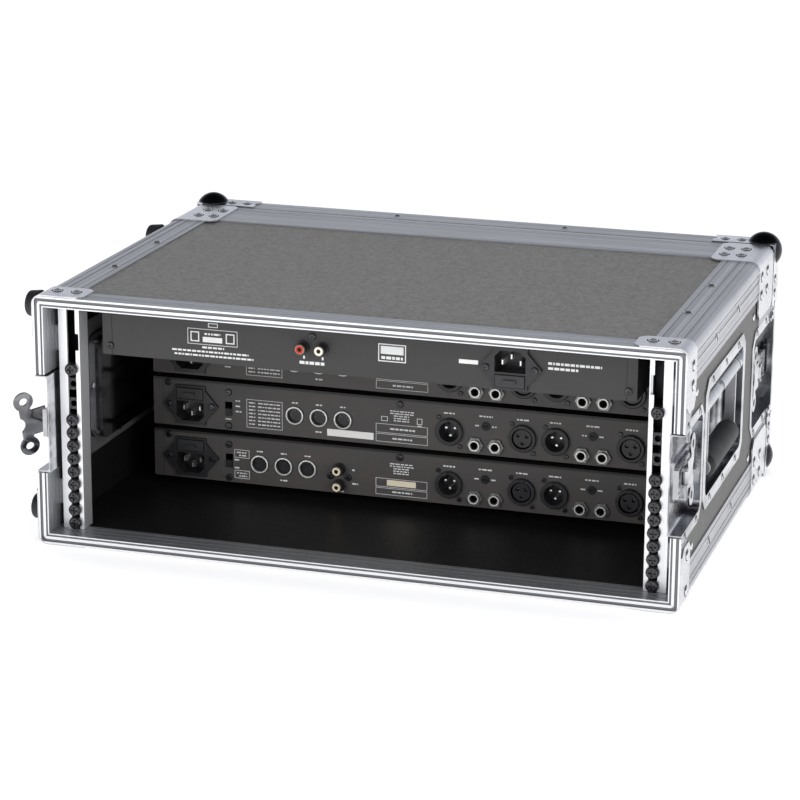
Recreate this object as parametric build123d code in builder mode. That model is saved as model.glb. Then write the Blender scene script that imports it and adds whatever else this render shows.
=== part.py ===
"""Four-unit 19-inch flight case with four one-unit devices, in millimetres.

X runs across the case, +Y from the open rear end to the lidded front end, and +Z up. The origin is the centre
of the base panel's outer face. Profiles stand 1.2 mm and pressed plates 2.4 mm proud of the panels, so the
case rests on its corner plates at z = -2.4.
"""

import os

from build123d import *

os.makedirs("parts", exist_ok=True)

# Case
WIDTH = 513.0
HEIGHT = 200.6
BODY_DEPTH = 350.0
LID_DEPTH = 24.0
BALL_OVERHANG = 6.0
SEAM_GAP = 0.4
SEAM_STEP = 0.7  # the outer edges at the seam are stepped down by this
SKIN = 1.2  # aluminium profile and pressed steel plate
PLY = 6.0
EDGE_RADIUS = 7.0
FLANGE = 31.0  # leg of the edge angles and of the lid's frame
REAR_FLANGE = 21.5
FRONT_FLANGE = 53.0
RIM_WEB = 1.6
RIM_LIP = 26.0  # inner leg of each rim
MITRE_GAP = 0.15
GROOVES = (10.0, 16.0, 26.0)  # from the edge, along the angles and round the lid

HALF = WIDTH / 2
Z_LOW = -SKIN
Z_HIGH = Z_LOW + HEIGHT
Z_MID = (Z_LOW + Z_HIGH) / 2
Y_REAR = -(BODY_DEPTH + LID_DEPTH + BALL_OVERHANG) / 2
Y_FRONT = Y_REAR + BODY_DEPTH
Y_LID = Y_FRONT + SEAM_GAP
Y_BACK = Y_FRONT + LID_DEPTH
Y_CENTRE = (Y_REAR + Y_FRONT) / 2
PANEL_FACE = HALF - SKIN  # outer face of the side panels
WALL = PANEL_FACE - PLY  # inner face of the side panels
CEILING = Z_HIGH - SKIN - PLY
RIM_DEPTH = SKIN + PLY + SKIN

# Corner hardware
PLATE_TOP = 41.0  # leg of a corner plate across the top
PLATE_SIDE = 49.0  # leg of a corner plate down the side
PLATE_DEPTH = 30.0
BRACE_DEPTH = 60.0
BALL_RADIUS = 15.5
BALL_INSET = 10.0
BALL_RISE = 6.6  # ball centre below the top of the case
BALL_PLATE = 52.0
BALL_PLATE_WIDTH = 23.0
RIVET_RADIUS = 3.6
RIVET_RISE = 1.5

# Latches: distances from the rim, and from the latch's centre
LATCH_Z = 96.8
LATCH_RECESS = 38.0
LATCH_FLANGE = 46.0
LATCH_LENGTH = 68.0
LATCH_FLOOR = HALF - 10.0
LATCH_FLANGE_LENGTH = 75.5
SPINDLE_Y = 24.0
SPINDLE_RADIUS = 4.5
HOOK_TRAVEL = 12.0
HOOK_FLOOR = LATCH_FLOOR + 1.8
HOOK_THICKNESS = 1.8
WING_HINGE = LATCH_FLOOR + 6.7
WING_REACH = 22.0
WING_EAR = 8.0
WING_SPREAD = 20.0
WING_THICKNESS = 1.6
RAISED_FOLD = 135.0  # the rear left wing as it stands: folded out past square, and twisted
RAISED_TWIST = 15.0

# Handles
HANDLE_Y = -33.0
HANDLE_Z = 104.0
HANDLE_HALF = (81.0, 52.0)
TRAY_HALF = (72.0, 42.0)
TRAY_DEPTH = 19.0
HINGE_RISE = 27.0
HINGE_X = HALF - 6.0
GRIP_DROP = 50.5
GRIP_RADIUS = 9.5
GRIP_HALF = 46.0
BAIL_ARM = 57.0
PIN_RADIUS = 2.5

# Rack
UNIT = 44.45
SLOT_BOTTOM = 13.1
HOLE_SPACING = 465.1
RAIL_INNER = 225.5
RAIL_OUTER = 243.0
RAIL_SETBACK = 17.5
RAIL_DEPTH = 16.0
RAIL_WALL = 2.0
SLOT_WIDTH = 7.0
HEAD_RADIUS = 5.1
HEAD_HEIGHT = 3.6
SHANK_RADIUS = 2.45
NUT_BORE = 2.5

# Devices
LOW_CHASSIS_HALF = 217.5
TOP_CHASSIS_HALF = 213.0
CHASSIS_HEIGHT = 40.5
CHASSIS_LIFT = 1.8
SHEET = 1.2
LOW_REAR = Y_REAR + 146.6
TOP_REAR = Y_REAR + 34.0
PANEL_THICKNESS = 3.0
PANEL_WIDTH = 482.6
PANEL_HEIGHT = 43.7
RAIL_FACE_FRONT = Y_FRONT - RAIL_SETBACK
FIT = 0.1

# Feet, on the left side
FOOT_RADIUS = 11.0
FOOT_HEIGHT = 11.5


def block(x, y, z, mode=Mode.ADD):
    """A box between two limits on each axis, in the part being built."""
    with Locations(((x[0] + x[1]) / 2, (y[0] + y[1]) / 2, (z[0] + z[1]) / 2)):
        Box(x[1] - x[0], y[1] - y[0], z[1] - z[0], mode=mode)


def around(centre, half):
    """The two limits that lie half on each side of a centre."""
    return (centre - half, centre + half)


def ring(y, outer, inner, mode=Mode.ADD):
    """A rectangular tube along Y; outer and inner are insets from the outline of the case."""
    with BuildSketch(Plane(origin=(0, y[0], Z_MID), x_dir=(1, 0, 0), z_dir=(0, 1, 0))) as outline:
        corner = max(EDGE_RADIUS - outer, 0.4)
        RectangleRounded(WIDTH - 2 * outer, HEIGHT - 2 * outer, corner)
        corner = max(EDGE_RADIUS - inner, 0.4)
        RectangleRounded(WIDTH - 2 * inner, HEIGHT - 2 * inner, corner, mode=Mode.SUBTRACT)
    extrude(outline.sketch, amount=y[1] - y[0], mode=mode)


def mitre_corners(y, reach):
    """Four 45-degree saw cuts that part a frame into its lengths."""
    for side in (-1, 1):
        for level, height in ((1, Z_HIGH), (-1, Z_LOW)):
            with Locations(Location((side * HALF, sum(y) / 2, height), (0, side * level * 45, 0))):
                Box(MITRE_GAP, y[1] - y[0] + 2, 2 * reach, mode=Mode.SUBTRACT)


def mirrored(part, across_x=False, across_y=False):
    """A copy of a right-hand, rear-end part for another side or for the front end of the body."""
    if across_x:
        part = mirror(part, about=Plane.YZ)
    if across_y:
        part = mirror(part, about=Plane.XZ.offset(-Y_CENTRE))
    return part


def group(parts):
    """Several separate solids of one kind in one node."""
    return Compound(children=[Compound(list(part.solids())) for part in parts])


def save(part, name):
    """Labels a finished part and writes it."""
    part.label = name
    export_step(part, f"parts/{name}.step")


# Places on the outer faces, for rivets and screws: the plane's normal points out of the case


def on_top(x, y, height=Z_HIGH):
    return Plane(origin=(x, y, height), x_dir=(1, 0, 0), z_dir=(0, 0, 1))


def on_side(side, y, z, face=HALF):
    return Plane(origin=(side * face, y, z), x_dir=(0, side, 0), z_dir=(side, 0, 0))


def on_back(x, z, face=Y_BACK):
    return Plane(origin=(x, face, z), x_dir=(-1, 0, 0), z_dir=(0, 1, 0))


def on_rear(x, z, face):
    return Plane(origin=(x, face, z), x_dir=(1, 0, 0), z_dir=(0, -1, 0))


# Panels


def side_panel():
    with BuildPart() as panel:
        block((WALL, PANEL_FACE), (Y_REAR + RIM_WEB, Y_FRONT - RIM_WEB), (PLY, CEILING))
        tray = [half + 1.6 for half in TRAY_HALF]
        block((0, HALF), around(HANDLE_Y, tray[0]), around(HANDLE_Z, tray[1]), mode=Mode.SUBTRACT)
        height = around(LATCH_Z, LATCH_RECESS + 1.4)
        block((0, HALF), (Y_REAR, Y_REAR + LATCH_LENGTH + 1.6), height, mode=Mode.SUBTRACT)
        block((0, HALF), (Y_FRONT - LATCH_LENGTH - 1.6, Y_FRONT), height, mode=Mode.SUBTRACT)
    return panel.part


def ease_edges(level, depth):
    """Lowers a panel's outer face a little round its edge, where profiles and corner plates cover it."""
    exposed_y = (Y_REAR + PLATE_DEPTH + 0.2, Y_FRONT - 4.2 - BRACE_DEPTH)
    with BuildSketch(Plane.XY.offset(level)) as band:
        Rectangle(WIDTH, 2 * BODY_DEPTH)
        with Locations((0, sum(exposed_y) / 2)):
            Rectangle(2 * (HALF - FLANGE - 0.2), exposed_y[1] - exposed_y[0], mode=Mode.SUBTRACT)
    extrude(band.sketch, amount=depth, mode=Mode.SUBTRACT)


with BuildPart() as panel_top:
    block(
        (-PANEL_FACE, PANEL_FACE),
        (Y_REAR + RIM_WEB, Y_FRONT - RIM_WEB),
        (CEILING, CEILING + PLY),
    )
    fillet(panel_top.edges().filter_by(Axis.Y).group_by(Axis.Z)[-1], PLY - 0.1)
    ease_edges(CEILING + PLY, -FIT)
save(panel_top.part, "panel_top")

with BuildPart() as panel_bottom:
    block((-PANEL_FACE, PANEL_FACE), (Y_REAR + RIM_WEB, Y_FRONT - RIM_WEB), (0, PLY))
    fillet(panel_bottom.edges().filter_by(Axis.Y).group_by(Axis.Z)[0], PLY - 0.1)
    ease_edges(0, FIT)
save(panel_bottom.part, "panel_bottom")

save(side_panel(), "panel_right")
save(mirrored(side_panel(), across_x=True), "panel_left")


# Aluminium: edge angles along Y, and a rim at each end of the body


def edge_angle():
    """The upper right angle: rounded outside, with shallow grooves along both legs."""
    start, end = Y_REAR + REAR_FLANGE + FIT, Y_FRONT - FRONT_FLANGE - FIT
    with BuildPart() as angle:
        with BuildSketch(Plane.XZ.offset(-start)) as section:
            with Locations((HALF - FLANGE / 2, Z_HIGH - FLANGE / 2)):
                Rectangle(FLANGE, FLANGE)
            fillet(section.vertices().group_by(Axis.Y)[-1].sort_by(Axis.X)[-1], EDGE_RADIUS)
            for distance in GROOVES:
                with Locations((HALF - distance, Z_HIGH), (HALF, Z_HIGH - distance)):
                    Rectangle(0.9, 0.9, mode=Mode.SUBTRACT)
        extrude(amount=start - end)
        with BuildSketch(Plane.XZ.offset(-start)) as hollow:
            with Locations((HALF - SKIN - FLANGE / 2, Z_HIGH - SKIN - FLANGE / 2)):
                Rectangle(FLANGE, FLANGE)
            corner = hollow.vertices().group_by(Axis.Y)[-1].sort_by(Axis.X)[-1]
            fillet(corner, EDGE_RADIUS - SKIN)
        extrude(amount=start - end, mode=Mode.SUBTRACT)
    return angle.part


lower_angle = mirror(edge_angle(), about=Plane.XY.offset(Z_MID))
edge_angles = [
    mirrored(part, across_x=left) for part in (edge_angle(), lower_angle) for left in (False, True)
]
save(group(edge_angles), "edge_angles")


def body_rim(depth, seam=0.0):
    """A rim at the rear end: outer leg of the given depth, grooved face, ribbed inner leg, latch recesses.

    A rim that meets the lid has its outer edge stepped down by seam.
    """
    start = Y_REAR
    with BuildPart() as rim:
        ring((start, start + depth), 0, SKIN)
        ring((start, start + RIM_WEB), 0, RIM_DEPTH)
        ring((start, start + RIM_LIP), RIM_DEPTH - SKIN, RIM_DEPTH)
        ring((start - 1, start + 0.9), 1.4, 3.8, mode=Mode.SUBTRACT)
        ring((start - 1, start + 0.6), 6.0, 7.5, mode=Mode.SUBTRACT)
        if seam:
            ring((start - 1, start + 0.9), -1, seam, mode=Mode.SUBTRACT)
        for distance in (8.0, 14.0, depth - 3.0):
            around_groove = around(start + distance, 0.45)
            ring(around_groove, -1, 0.45, mode=Mode.SUBTRACT)
        for distance in (7.0, 14.0, 21.0):
            ring(around(start + distance, 0.6), RIM_DEPTH - 0.5, RIM_DEPTH + 1, mode=Mode.SUBTRACT)
        recess = around(LATCH_Z, LATCH_RECESS + 2.0)
        everywhere = (-HALF - 2, HALF + 2)
        block(everywhere, (start - 1, start + max(depth, RIM_LIP) + 1), recess, mode=Mode.SUBTRACT)
        for side in (-1, 1):
            outer_leg = sorted((side * (PANEL_FACE - 0.05), side * (HALF + 2)))
            plate = around(LATCH_Z, LATCH_FLANGE + 0.3)
            block(outer_leg, (start + RIM_WEB, start + depth + 1), plate, mode=Mode.SUBTRACT)
        mitre_corners((start, start + depth), 14.0)
    return rim.part


save(body_rim(REAR_FLANGE), "rear_frame")
save(mirrored(body_rim(FRONT_FLANGE, SEAM_STEP), across_y=True), "front_frame")


# Corner plates and braces


def corner_plates(y):
    """Four bent plates over the long edges of the case, with clipped corners."""
    with BuildPart() as plates:
        ring(y, -SKIN, 0)
        open_width = HALF - PLATE_TOP
        block(
            (-open_width, open_width), (y[0] - 1, y[1] + 1), (Z_LOW - 9, Z_HIGH + 9), mode=Mode.SUBTRACT
        )
        open_height = (Z_LOW + PLATE_SIDE, Z_HIGH - PLATE_SIDE)
        block((-HALF - 9, HALF + 9), (y[0] - 1, y[1] + 1), open_height, mode=Mode.SUBTRACT)
        tips = plates.edges().filter_by(Axis.Z)
        tips = tips.filter_by(lambda e: abs(abs(e.center().X) - open_width) < 0.1)
        chamfer(tips, 5.0)
        ends = plates.edges().filter_by(Axis.X)
        ends = ends.filter_by(lambda e: min(abs(e.center().Z - z) for z in open_height) < 0.1)
        chamfer(ends, 6.0)
    return plates.part


save(corner_plates((Y_REAR + 0.6, Y_REAR + PLATE_DEPTH)), "rear_corner_plates")
save(corner_plates((Y_FRONT - 4 - BRACE_DEPTH, Y_FRONT - 1.0)), "front_corner_braces")


def dome(radius, rise):
    """A low domed head on Z = 0, with its rim standing a little off the face."""
    ball = (radius**2 + rise**2) / (2 * rise)
    with BuildPart() as head:
        with Locations((0, 0, rise - ball)):
            Sphere(ball)
        with Locations((0, 0, -2 * ball)):
            Box(4 * ball, 4 * ball, 4 * ball, mode=Mode.SUBTRACT)
    return head.part


def heads(planes, radius=RIVET_RADIUS, rise=RIVET_RISE):
    """The same domed head on each plane, for the part being built."""
    with Locations(*[plane.location for plane in planes]):
        add(dome(radius, rise))


plate_face = HALF + SKIN
plate_top = Z_HIGH + SKIN
rear_row = Y_REAR + 18.0
brace_rows = (Y_FRONT - 44.0, Y_FRONT - 21.0)

# Latches, drawn for the right side of the rear end


def latch_dish():
    """A pressed recess open towards the rim, with a flange round it and a raised seat for the hook."""
    depth = (Y_REAR + 0.2, Y_REAR + LATCH_LENGTH)
    with BuildPart() as hollow:
        block((LATCH_FLOOR, HALF + 5), (Y_REAR - 5, depth[1]), around(LATCH_Z, LATCH_RECESS))
        fillet(hollow.edges().filter_by(Axis.X).group_by(Axis.Y)[-1], 7.0)
        fillet(hollow.faces().sort_by(Axis.X)[0].edges().sort_by(Axis.Y)[1:], 2.5)
    with BuildPart() as dish:
        block(
            (LATCH_FLOOR - 1, PANEL_FACE + 1),
            (depth[0], depth[1] + 1),
            around(LATCH_Z, LATCH_RECESS + 1),
        )
        block(
            (PANEL_FACE, PANEL_FACE + 1),
            (Y_REAR + RIM_WEB + 0.2, Y_REAR + LATCH_FLANGE_LENGTH),
            around(LATCH_Z, LATCH_FLANGE),
        )
        far_corners = dish.edges().filter_by(Axis.X).filter_by(
            lambda e: abs(abs(e.center().Z - LATCH_Z) - LATCH_FLANGE) < 0.1
            and e.center().Y > Y_REAR + LATCH_LENGTH
        )
        chamfer(far_corners, 12.0)
        add(hollow.part, mode=Mode.SUBTRACT)
        block((LATCH_FLOOR - 0.5, LATCH_FLOOR + 1.5), (Y_REAR + 8, Y_REAR + 62), around(LATCH_Z, 15))
    return dish.part


def latch_spindle():
    """A spindle through the hook's slot, with a wide head split for the wing."""
    axis = Plane(origin=(LATCH_FLOOR + 1.6, Y_REAR + SPINDLE_Y, LATCH_Z), x_dir=(0, 1, 0), z_dir=(1, 0, 0))
    with BuildPart() as spindle:
        with BuildSketch(axis):
            Circle(SPINDLE_RADIUS)
        extrude(amount=HOOK_THICKNESS + 0.6)
        with BuildSketch(axis.offset(HOOK_THICKNESS + 0.3)):
            Circle(8.0)
        extrude(amount=1.0)
        for level in (-1, 1):
            ear = sorted((LATCH_Z + level * 5.2, LATCH_Z + level * 7.4))
            block((WING_HINGE - 2.8, WING_HINGE + 2.0), around(Y_REAR + SPINDLE_Y, 2.2), ear)
        pin = Plane(origin=(WING_HINGE, Y_REAR + SPINDLE_Y, LATCH_Z - 7.4))
        with BuildSketch(pin):
            Circle(0.9)
        extrude(amount=14.8)
    return spindle.part


def latch_wing():
    """A bow-tie key lying flat in the recess, hinged on the spindle's cross pin."""
    flat = Plane(
        origin=(WING_HINGE - WING_THICKNESS / 2, Y_REAR + SPINDLE_Y, LATCH_Z),
        x_dir=(0, 1, 0),
        z_dir=(1, 0, 0),
    )
    ears = [(WING_REACH, WING_SPREAD), (WING_REACH, -WING_SPREAD)]
    with BuildPart() as wing:
        with BuildSketch(flat) as outline:
            with Locations((WING_REACH / 2 + 3.2, 0)):
                Rectangle(WING_REACH - 3.5, 22.0)
            with Locations((WING_REACH, 0)):
                Rectangle(9.0, 2 * WING_SPREAD)
            with Locations(*ears):
                Circle(WING_EAR)
            with Locations((WING_REACH + WING_EAR, 0)):
                Circle(7.0, mode=Mode.SUBTRACT)
            with Locations(*ears):
                Circle(3.3, mode=Mode.SUBTRACT)
        extrude(amount=WING_THICKNESS)
        knuckle = Plane(origin=(WING_HINGE, Y_REAR + SPINDLE_Y, LATCH_Z - 4.9))
        block(
            around(WING_HINGE, WING_THICKNESS / 2),
            (Y_REAR + SPINDLE_Y + 0.2, Y_REAR + SPINDLE_Y + 8.0),
            around(LATCH_Z, 4.9),
        )
        with BuildSketch(knuckle):
            Circle(1.8)
        extrude(amount=9.8)
        with BuildSketch(knuckle.offset(-0.5)):
            Circle(0.96)
        extrude(amount=11, mode=Mode.SUBTRACT)
    return wing.part


def latch_hook(reach=0.0):
    """A slotted draw plate with a raised nose, moved towards the rim by reach."""
    nose = Y_REAR + 3.0 - reach
    with BuildPart() as hook:
        layer = (HOOK_FLOOR, HOOK_FLOOR + HOOK_THICKNESS)
        block(layer, (nose, nose + 54), around(LATCH_Z, 11))
        block((layer[0], layer[1] + 1.9), (nose, nose + 2.4), around(LATCH_Z, 11))
        for level in (-1, 1):
            cheek = sorted((LATCH_Z + level * 9.6, LATCH_Z + level * 11))
            block((layer[0], layer[1] + 1.2), (nose, nose + 14), cheek)
        slot_end = SPINDLE_Y - 3.0 + reach
        slot = (nose + slot_end - SPINDLE_RADIUS - 0.4, nose + slot_end + SPINDLE_RADIUS + 0.4)
        if reach:
            slot = (slot[0] - HOOK_TRAVEL, slot[1])
        else:
            slot = (slot[0], slot[1] + HOOK_TRAVEL)
        block((0, HALF), slot, around(LATCH_Z, SPINDLE_RADIUS + 0.4), mode=Mode.SUBTRACT)
    return hook.part


def twisted(part):
    """A spindle or wing turned part of the way round."""
    return part.rotate(Axis((0, Y_REAR + SPINDLE_Y, LATCH_Z), (1, 0, 0)), RAISED_TWIST)


def raised(wing):
    """The wing folded out of its recess and leaning towards the rim."""
    hinge = Axis((WING_HINGE, Y_REAR + SPINDLE_Y, LATCH_Z), (0, 0, 1))
    return twisted(wing.rotate(hinge, -RAISED_FOLD))


save(
    group([mirrored(latch_dish(), left, front) for left in (False, True) for front in (False, True)]),
    "latch_dishes",
)
for left in (False, True):
    side_name = "left" if left else "right"
    for front in (False, True):
        end_name = "front" if front else "rear"
        wing, spindle = latch_wing(), latch_spindle()
        if left and not front:
            wing, spindle = raised(wing), twisted(spindle)
        save(mirrored(spindle, left, front), f"latch_spindle_{end_name}_{side_name}")
        save(mirrored(wing, left, front), f"latch_wing_{end_name}_{side_name}")
        hook = latch_hook(HOOK_TRAVEL if front else 0.0)
        save(mirrored(hook, left, front), f"latch_hook_{end_name}_{side_name}")


# Spring handles, drawn for the right side


def handle_dish():
    """A deep pressed tray with a clipped flange; a boss in each end holds the hinge pin."""
    floor = HALF - TRAY_DEPTH
    rim_layer = (PANEL_FACE, PANEL_FACE + 1.4)
    tray = (around(HANDLE_Y, TRAY_HALF[0] + 1), around(HANDLE_Z, TRAY_HALF[1] + 1))
    with BuildPart() as hollow:
        block((floor, HALF + 5), around(HANDLE_Y, TRAY_HALF[0]), around(HANDLE_Z, TRAY_HALF[1]))
        fillet(hollow.edges().filter_by(Axis.X), 8.0)
        fillet(hollow.faces().sort_by(Axis.X)[0].edges(), 5.0)
    with BuildPart() as dish:
        block((floor - 1, rim_layer[1]), *tray)
        fillet(dish.edges().filter_by(Axis.X), 9.0)
        block(rim_layer, around(HANDLE_Y, HANDLE_HALF[0]), around(HANDLE_Z, HANDLE_HALF[1]))
        corners = dish.edges().filter_by(Axis.X).filter_by(
            lambda e: abs(abs(e.center().Z - HANDLE_Z) - HANDLE_HALF[1]) < 0.1
        )
        chamfer(corners, 11.0)
        add(hollow.part, mode=Mode.SUBTRACT)
        for end in (-1, 1):
            boss = sorted((HANDLE_Y + end * 63.5, HANDLE_Y + end * TRAY_HALF[0]))
            with BuildSketch(Plane.XZ.offset(-boss[0])):
                with Locations((HINGE_X, HANDLE_Z + HINGE_RISE)):
                    Circle(6.0)
            extrude(amount=boss[0] - boss[1])
            with BuildSketch(Plane.XZ.offset(-boss[0] + 1)):
                with Locations((HINGE_X, HANDLE_Z + HINGE_RISE)):
                    Circle(PIN_RADIUS)
            extrude(amount=boss[0] - boss[1] - 2, mode=Mode.SUBTRACT)
    return dish.part


def tube(y, radius, bore=0.0, x=HINGE_X, z=HANDLE_Z + HINGE_RISE, mode=Mode.ADD):
    """A round bar or tube along Y, in the part being built."""
    with BuildSketch(Plane.XZ.offset(-y[0])) as section:
        with Locations((x, z)):
            Circle(radius)
            if bore:
                Circle(bore, mode=Mode.SUBTRACT)
    extrude(section.sketch, amount=y[0] - y[1], mode=mode)


def hinge_pin():
    with BuildPart() as pin:
        tube(around(HANDLE_Y, TRAY_HALF[0] - 0.5), PIN_RADIUS)
    return pin.part


def return_spring():
    """A close-wound torsion spring in the gap between the bail's two barrels."""
    wire = 0.9
    turns = 5
    with BuildPart() as spring:
        for turn in range(turns):
            y = HANDLE_Y - 6.0 + (turn - (turns - 1) / 2) * 2 * wire * 0.96
            with BuildSketch(Plane.YZ.offset(HINGE_X)):
                with Locations((y, HANDLE_Z + HINGE_RISE + PIN_RADIUS + wire + 0.4)):
                    Circle(wire)
            revolve(axis=Axis((HINGE_X, HANDLE_Y, HANDLE_Z + HINGE_RISE), (0, 1, 0)))
    return spring.part


def handle_bail():
    """Two barrels on the pin, an arm at each end and a rod through the grip."""
    grip_z = HANDLE_Z + HINGE_RISE - GRIP_DROP
    barrels = ((HANDLE_Y - 63.0, HANDLE_Y - 11.0), (HANDLE_Y - 1.0, HANDLE_Y + 63.0))
    with BuildPart() as bail:
        for end in (-1, 1):
            arm = sorted((HANDLE_Y + end * (BAIL_ARM - 3.5), HANDLE_Y + end * BAIL_ARM))
            block(around(HINGE_X, 4.0), arm, (grip_z, HANDLE_Z + HINGE_RISE))
            tube(arm, 6.5, z=grip_z)
        for barrel in barrels:
            tube(barrel, 5.6)
        tube(around(HANDLE_Y, BAIL_ARM - 1), 3.5, z=grip_z)
        tube(around(HANDLE_Y, 70.0), PIN_RADIUS + 0.06, mode=Mode.SUBTRACT)
    return bail.part


def handle_grip():
    """A rubber sleeve with rounded ends on the bail's rod."""
    grip_z = HANDLE_Z + HINGE_RISE - GRIP_DROP
    with BuildPart() as grip:
        tube(around(HANDLE_Y, GRIP_HALF + 6), GRIP_RADIUS, z=grip_z)
        ends = grip.edges().filter_by(GeomType.CIRCLE)
        fillet(ends, 5.5)
        tube(around(HANDLE_Y, GRIP_HALF + 9), 3.5, z=grip_z, mode=Mode.SUBTRACT)
    return grip.part


def backing_frame():
    """A flat frame inside the wall that the handle's rivets clamp."""
    tray = [half + 1.6 for half in TRAY_HALF]
    with BuildPart() as window:
        block((0, HALF), around(HANDLE_Y, tray[0]), around(HANDLE_Z, tray[1]))
        fillet(window.edges().filter_by(Axis.X), 8.0)
    with BuildPart() as frame:
        block((WALL - 2.0, WALL), around(HANDLE_Y, 85.0), around(HANDLE_Z, 56.0))
        fillet(frame.edges().filter_by(Axis.X), 6.0)
        add(window.part, mode=Mode.SUBTRACT)
    return frame.part


for left in (False, True):
    side_name = "left" if left else "right"
    save(mirrored(handle_dish(), left), f"handle_dish_{side_name}")
    save(mirrored(handle_bail(), left), f"handle_bail_{side_name}")
    save(mirrored(handle_grip(), left), f"handle_grip_{side_name}")
save(group([mirrored(backing_frame(), left) for left in (False, True)]), "handle_backing_frames")
save(group([mirrored(hinge_pin(), left) for left in (False, True)]), "handle_hinge_pins")
save(group([mirrored(return_spring(), left) for left in (False, True)]), "handle_springs")

# Rivets of the body and its hardware, and the small screws in the side panels


def plate_rivets():
    """On the rear corner plates, clear of the side feet, and on the front braces."""
    places = []
    for side in (-1, 1):
        for x in (243.0, 227.0):
            places.append(on_top(side * x, rear_row, plate_top))
        for x, row in ((x, row) for x in (238.0, 224.0) for row in brace_rows):
            places.append(on_top(side * x, row, plate_top))
        heights = (Z_HIGH - 30.0, Z_LOW + 40.0) + ((Z_HIGH - 15.0, Z_LOW + 12.0) if side > 0 else ())
        places += [on_side(side, rear_row, height, plate_face) for height in heights]
        for row in (Y_FRONT - 53.0, Y_FRONT - 28.0):
            for height in (Z_HIGH - 13.5, Z_HIGH - 29.0, Z_LOW + 13.5, Z_LOW + 29.0):
                places.append(on_side(side, row, height, plate_face))
    return places


def profile_rivets():
    """On the edge angles."""
    places = []
    for side in (-1, 1):
        for row in (Y_REAR + 110.0, Y_REAR + 200.0):
            places.append(on_top(side * 234.0, row))
            places += [on_side(side, row, Z_HIGH - 17.5), on_side(side, row, Z_LOW + 21.0)]
    return places


def hardware_rivets():
    """On the flanges of the handles and latches."""
    places = []
    for side in (-1, 1):
        for step in (-1, 0, 1):
            for level in (-1, 1):
                y = HANDLE_Y + step * 52.0
                places.append(on_side(side, y, HANDLE_Z + level * 46.7, PANEL_FACE + 1.4))
        for end in (-1, 1):
            middle = Y_CENTRE + end * (BODY_DEPTH / 2 - 36.0)
            for step in (-1, 1):
                for level in (-1, 1):
                    height = LATCH_Z + level * 42.4
                    places.append(on_side(side, middle + step * 21.0, height, PANEL_FACE + 1))
    return places


def panel_screws():
    """In the side panels, beside the latches."""
    places = []
    for side in (-1, 1):
        for height in (LATCH_Z + 60.0, LATCH_Z - 60.0):
            places += [on_side(side, y, height, PANEL_FACE) for y in (Y_REAR + 44.0, Y_FRONT - 74.0)]
    return places


with BuildPart() as shell_rivets:
    heads(plate_rivets() + profile_rivets())
    heads(hardware_rivets(), 3.2, 1.6)
    heads(panel_screws(), 3.0, 1.2)
save(shell_rivets.part, "shell_rivets")


# Lid

with BuildPart() as lid_panel:
    block(
        around(0, PANEL_FACE),
        (Y_BACK - SKIN - PLY, Y_BACK - SKIN),
        (Z_LOW + SKIN, Z_HIGH - SKIN),
    )
    fillet(lid_panel.edges().filter_by(Axis.Y), EDGE_RADIUS - SKIN + 0.1)
save(lid_panel.part, "lid_panel")

with BuildPart() as lid_frame:
    ring((Y_LID, Y_BACK), 0, SKIN)
    ring((Y_LID, Y_LID + RIM_WEB), 0, RIM_DEPTH)
    ring((Y_LID - 1, Y_LID + 0.9), -1, SEAM_STEP, mode=Mode.SUBTRACT)
    ring((Y_LID, Y_BACK - SKIN - PLY), RIM_DEPTH - SKIN, RIM_DEPTH)
    ring((Y_BACK - SKIN, Y_BACK), 0, FLANGE)
    for inset in GROOVES:
        ring((Y_BACK - 0.45, Y_BACK + 1), inset - 0.45, inset + 0.45, mode=Mode.SUBTRACT)
    ring(around(Y_BACK - 10.0, 0.45), -1, 0.45, mode=Mode.SUBTRACT)
    for side in (-1, 1):
        across = sorted((side * (HALF - RIM_DEPTH - 2), side * (HALF + 2)))
        block(across, (Y_LID - 1, Y_LID + 16.4), around(LATCH_Z, LATCH_RECESS + 2), mode=Mode.SUBTRACT)
    mitre_corners((Y_LID, Y_BACK), 46.0)
save(lid_frame.part, "lid_frame")


def keeper():
    """The right-hand keeper: a shallow pocket open towards the seam, with a ridge under the hook."""
    with BuildPart() as pocket:
        block((LATCH_FLOOR - 1, HALF), (Y_LID + 0.2, Y_LID + 16.2), around(LATCH_Z, LATCH_RECESS + 1))
        block((HALF, HALF + 1), (Y_LID + 0.2, Y_BACK - 2.0), around(LATCH_Z, LATCH_FLANGE))
        corners = pocket.edges().filter_by(Axis.X).filter_by(
            lambda e: abs(abs(e.center().Z - LATCH_Z) - LATCH_FLANGE) < 0.1
        )
        chamfer(corners, 5.0)
        mouth = (Y_LID - 1, Y_LID + 15.2)
        block((LATCH_FLOOR, HALF + 5), mouth, around(LATCH_Z, LATCH_RECESS), mode=Mode.SUBTRACT)
        block((LATCH_FLOOR - 0.5, HOOK_FLOOR - 0.4), (Y_LID + 3.0, Y_LID + 5.5), around(LATCH_Z, 14))
    return pocket.part


save(group([mirrored(keeper(), left) for left in (False, True)]), "lid_keepers")


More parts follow.
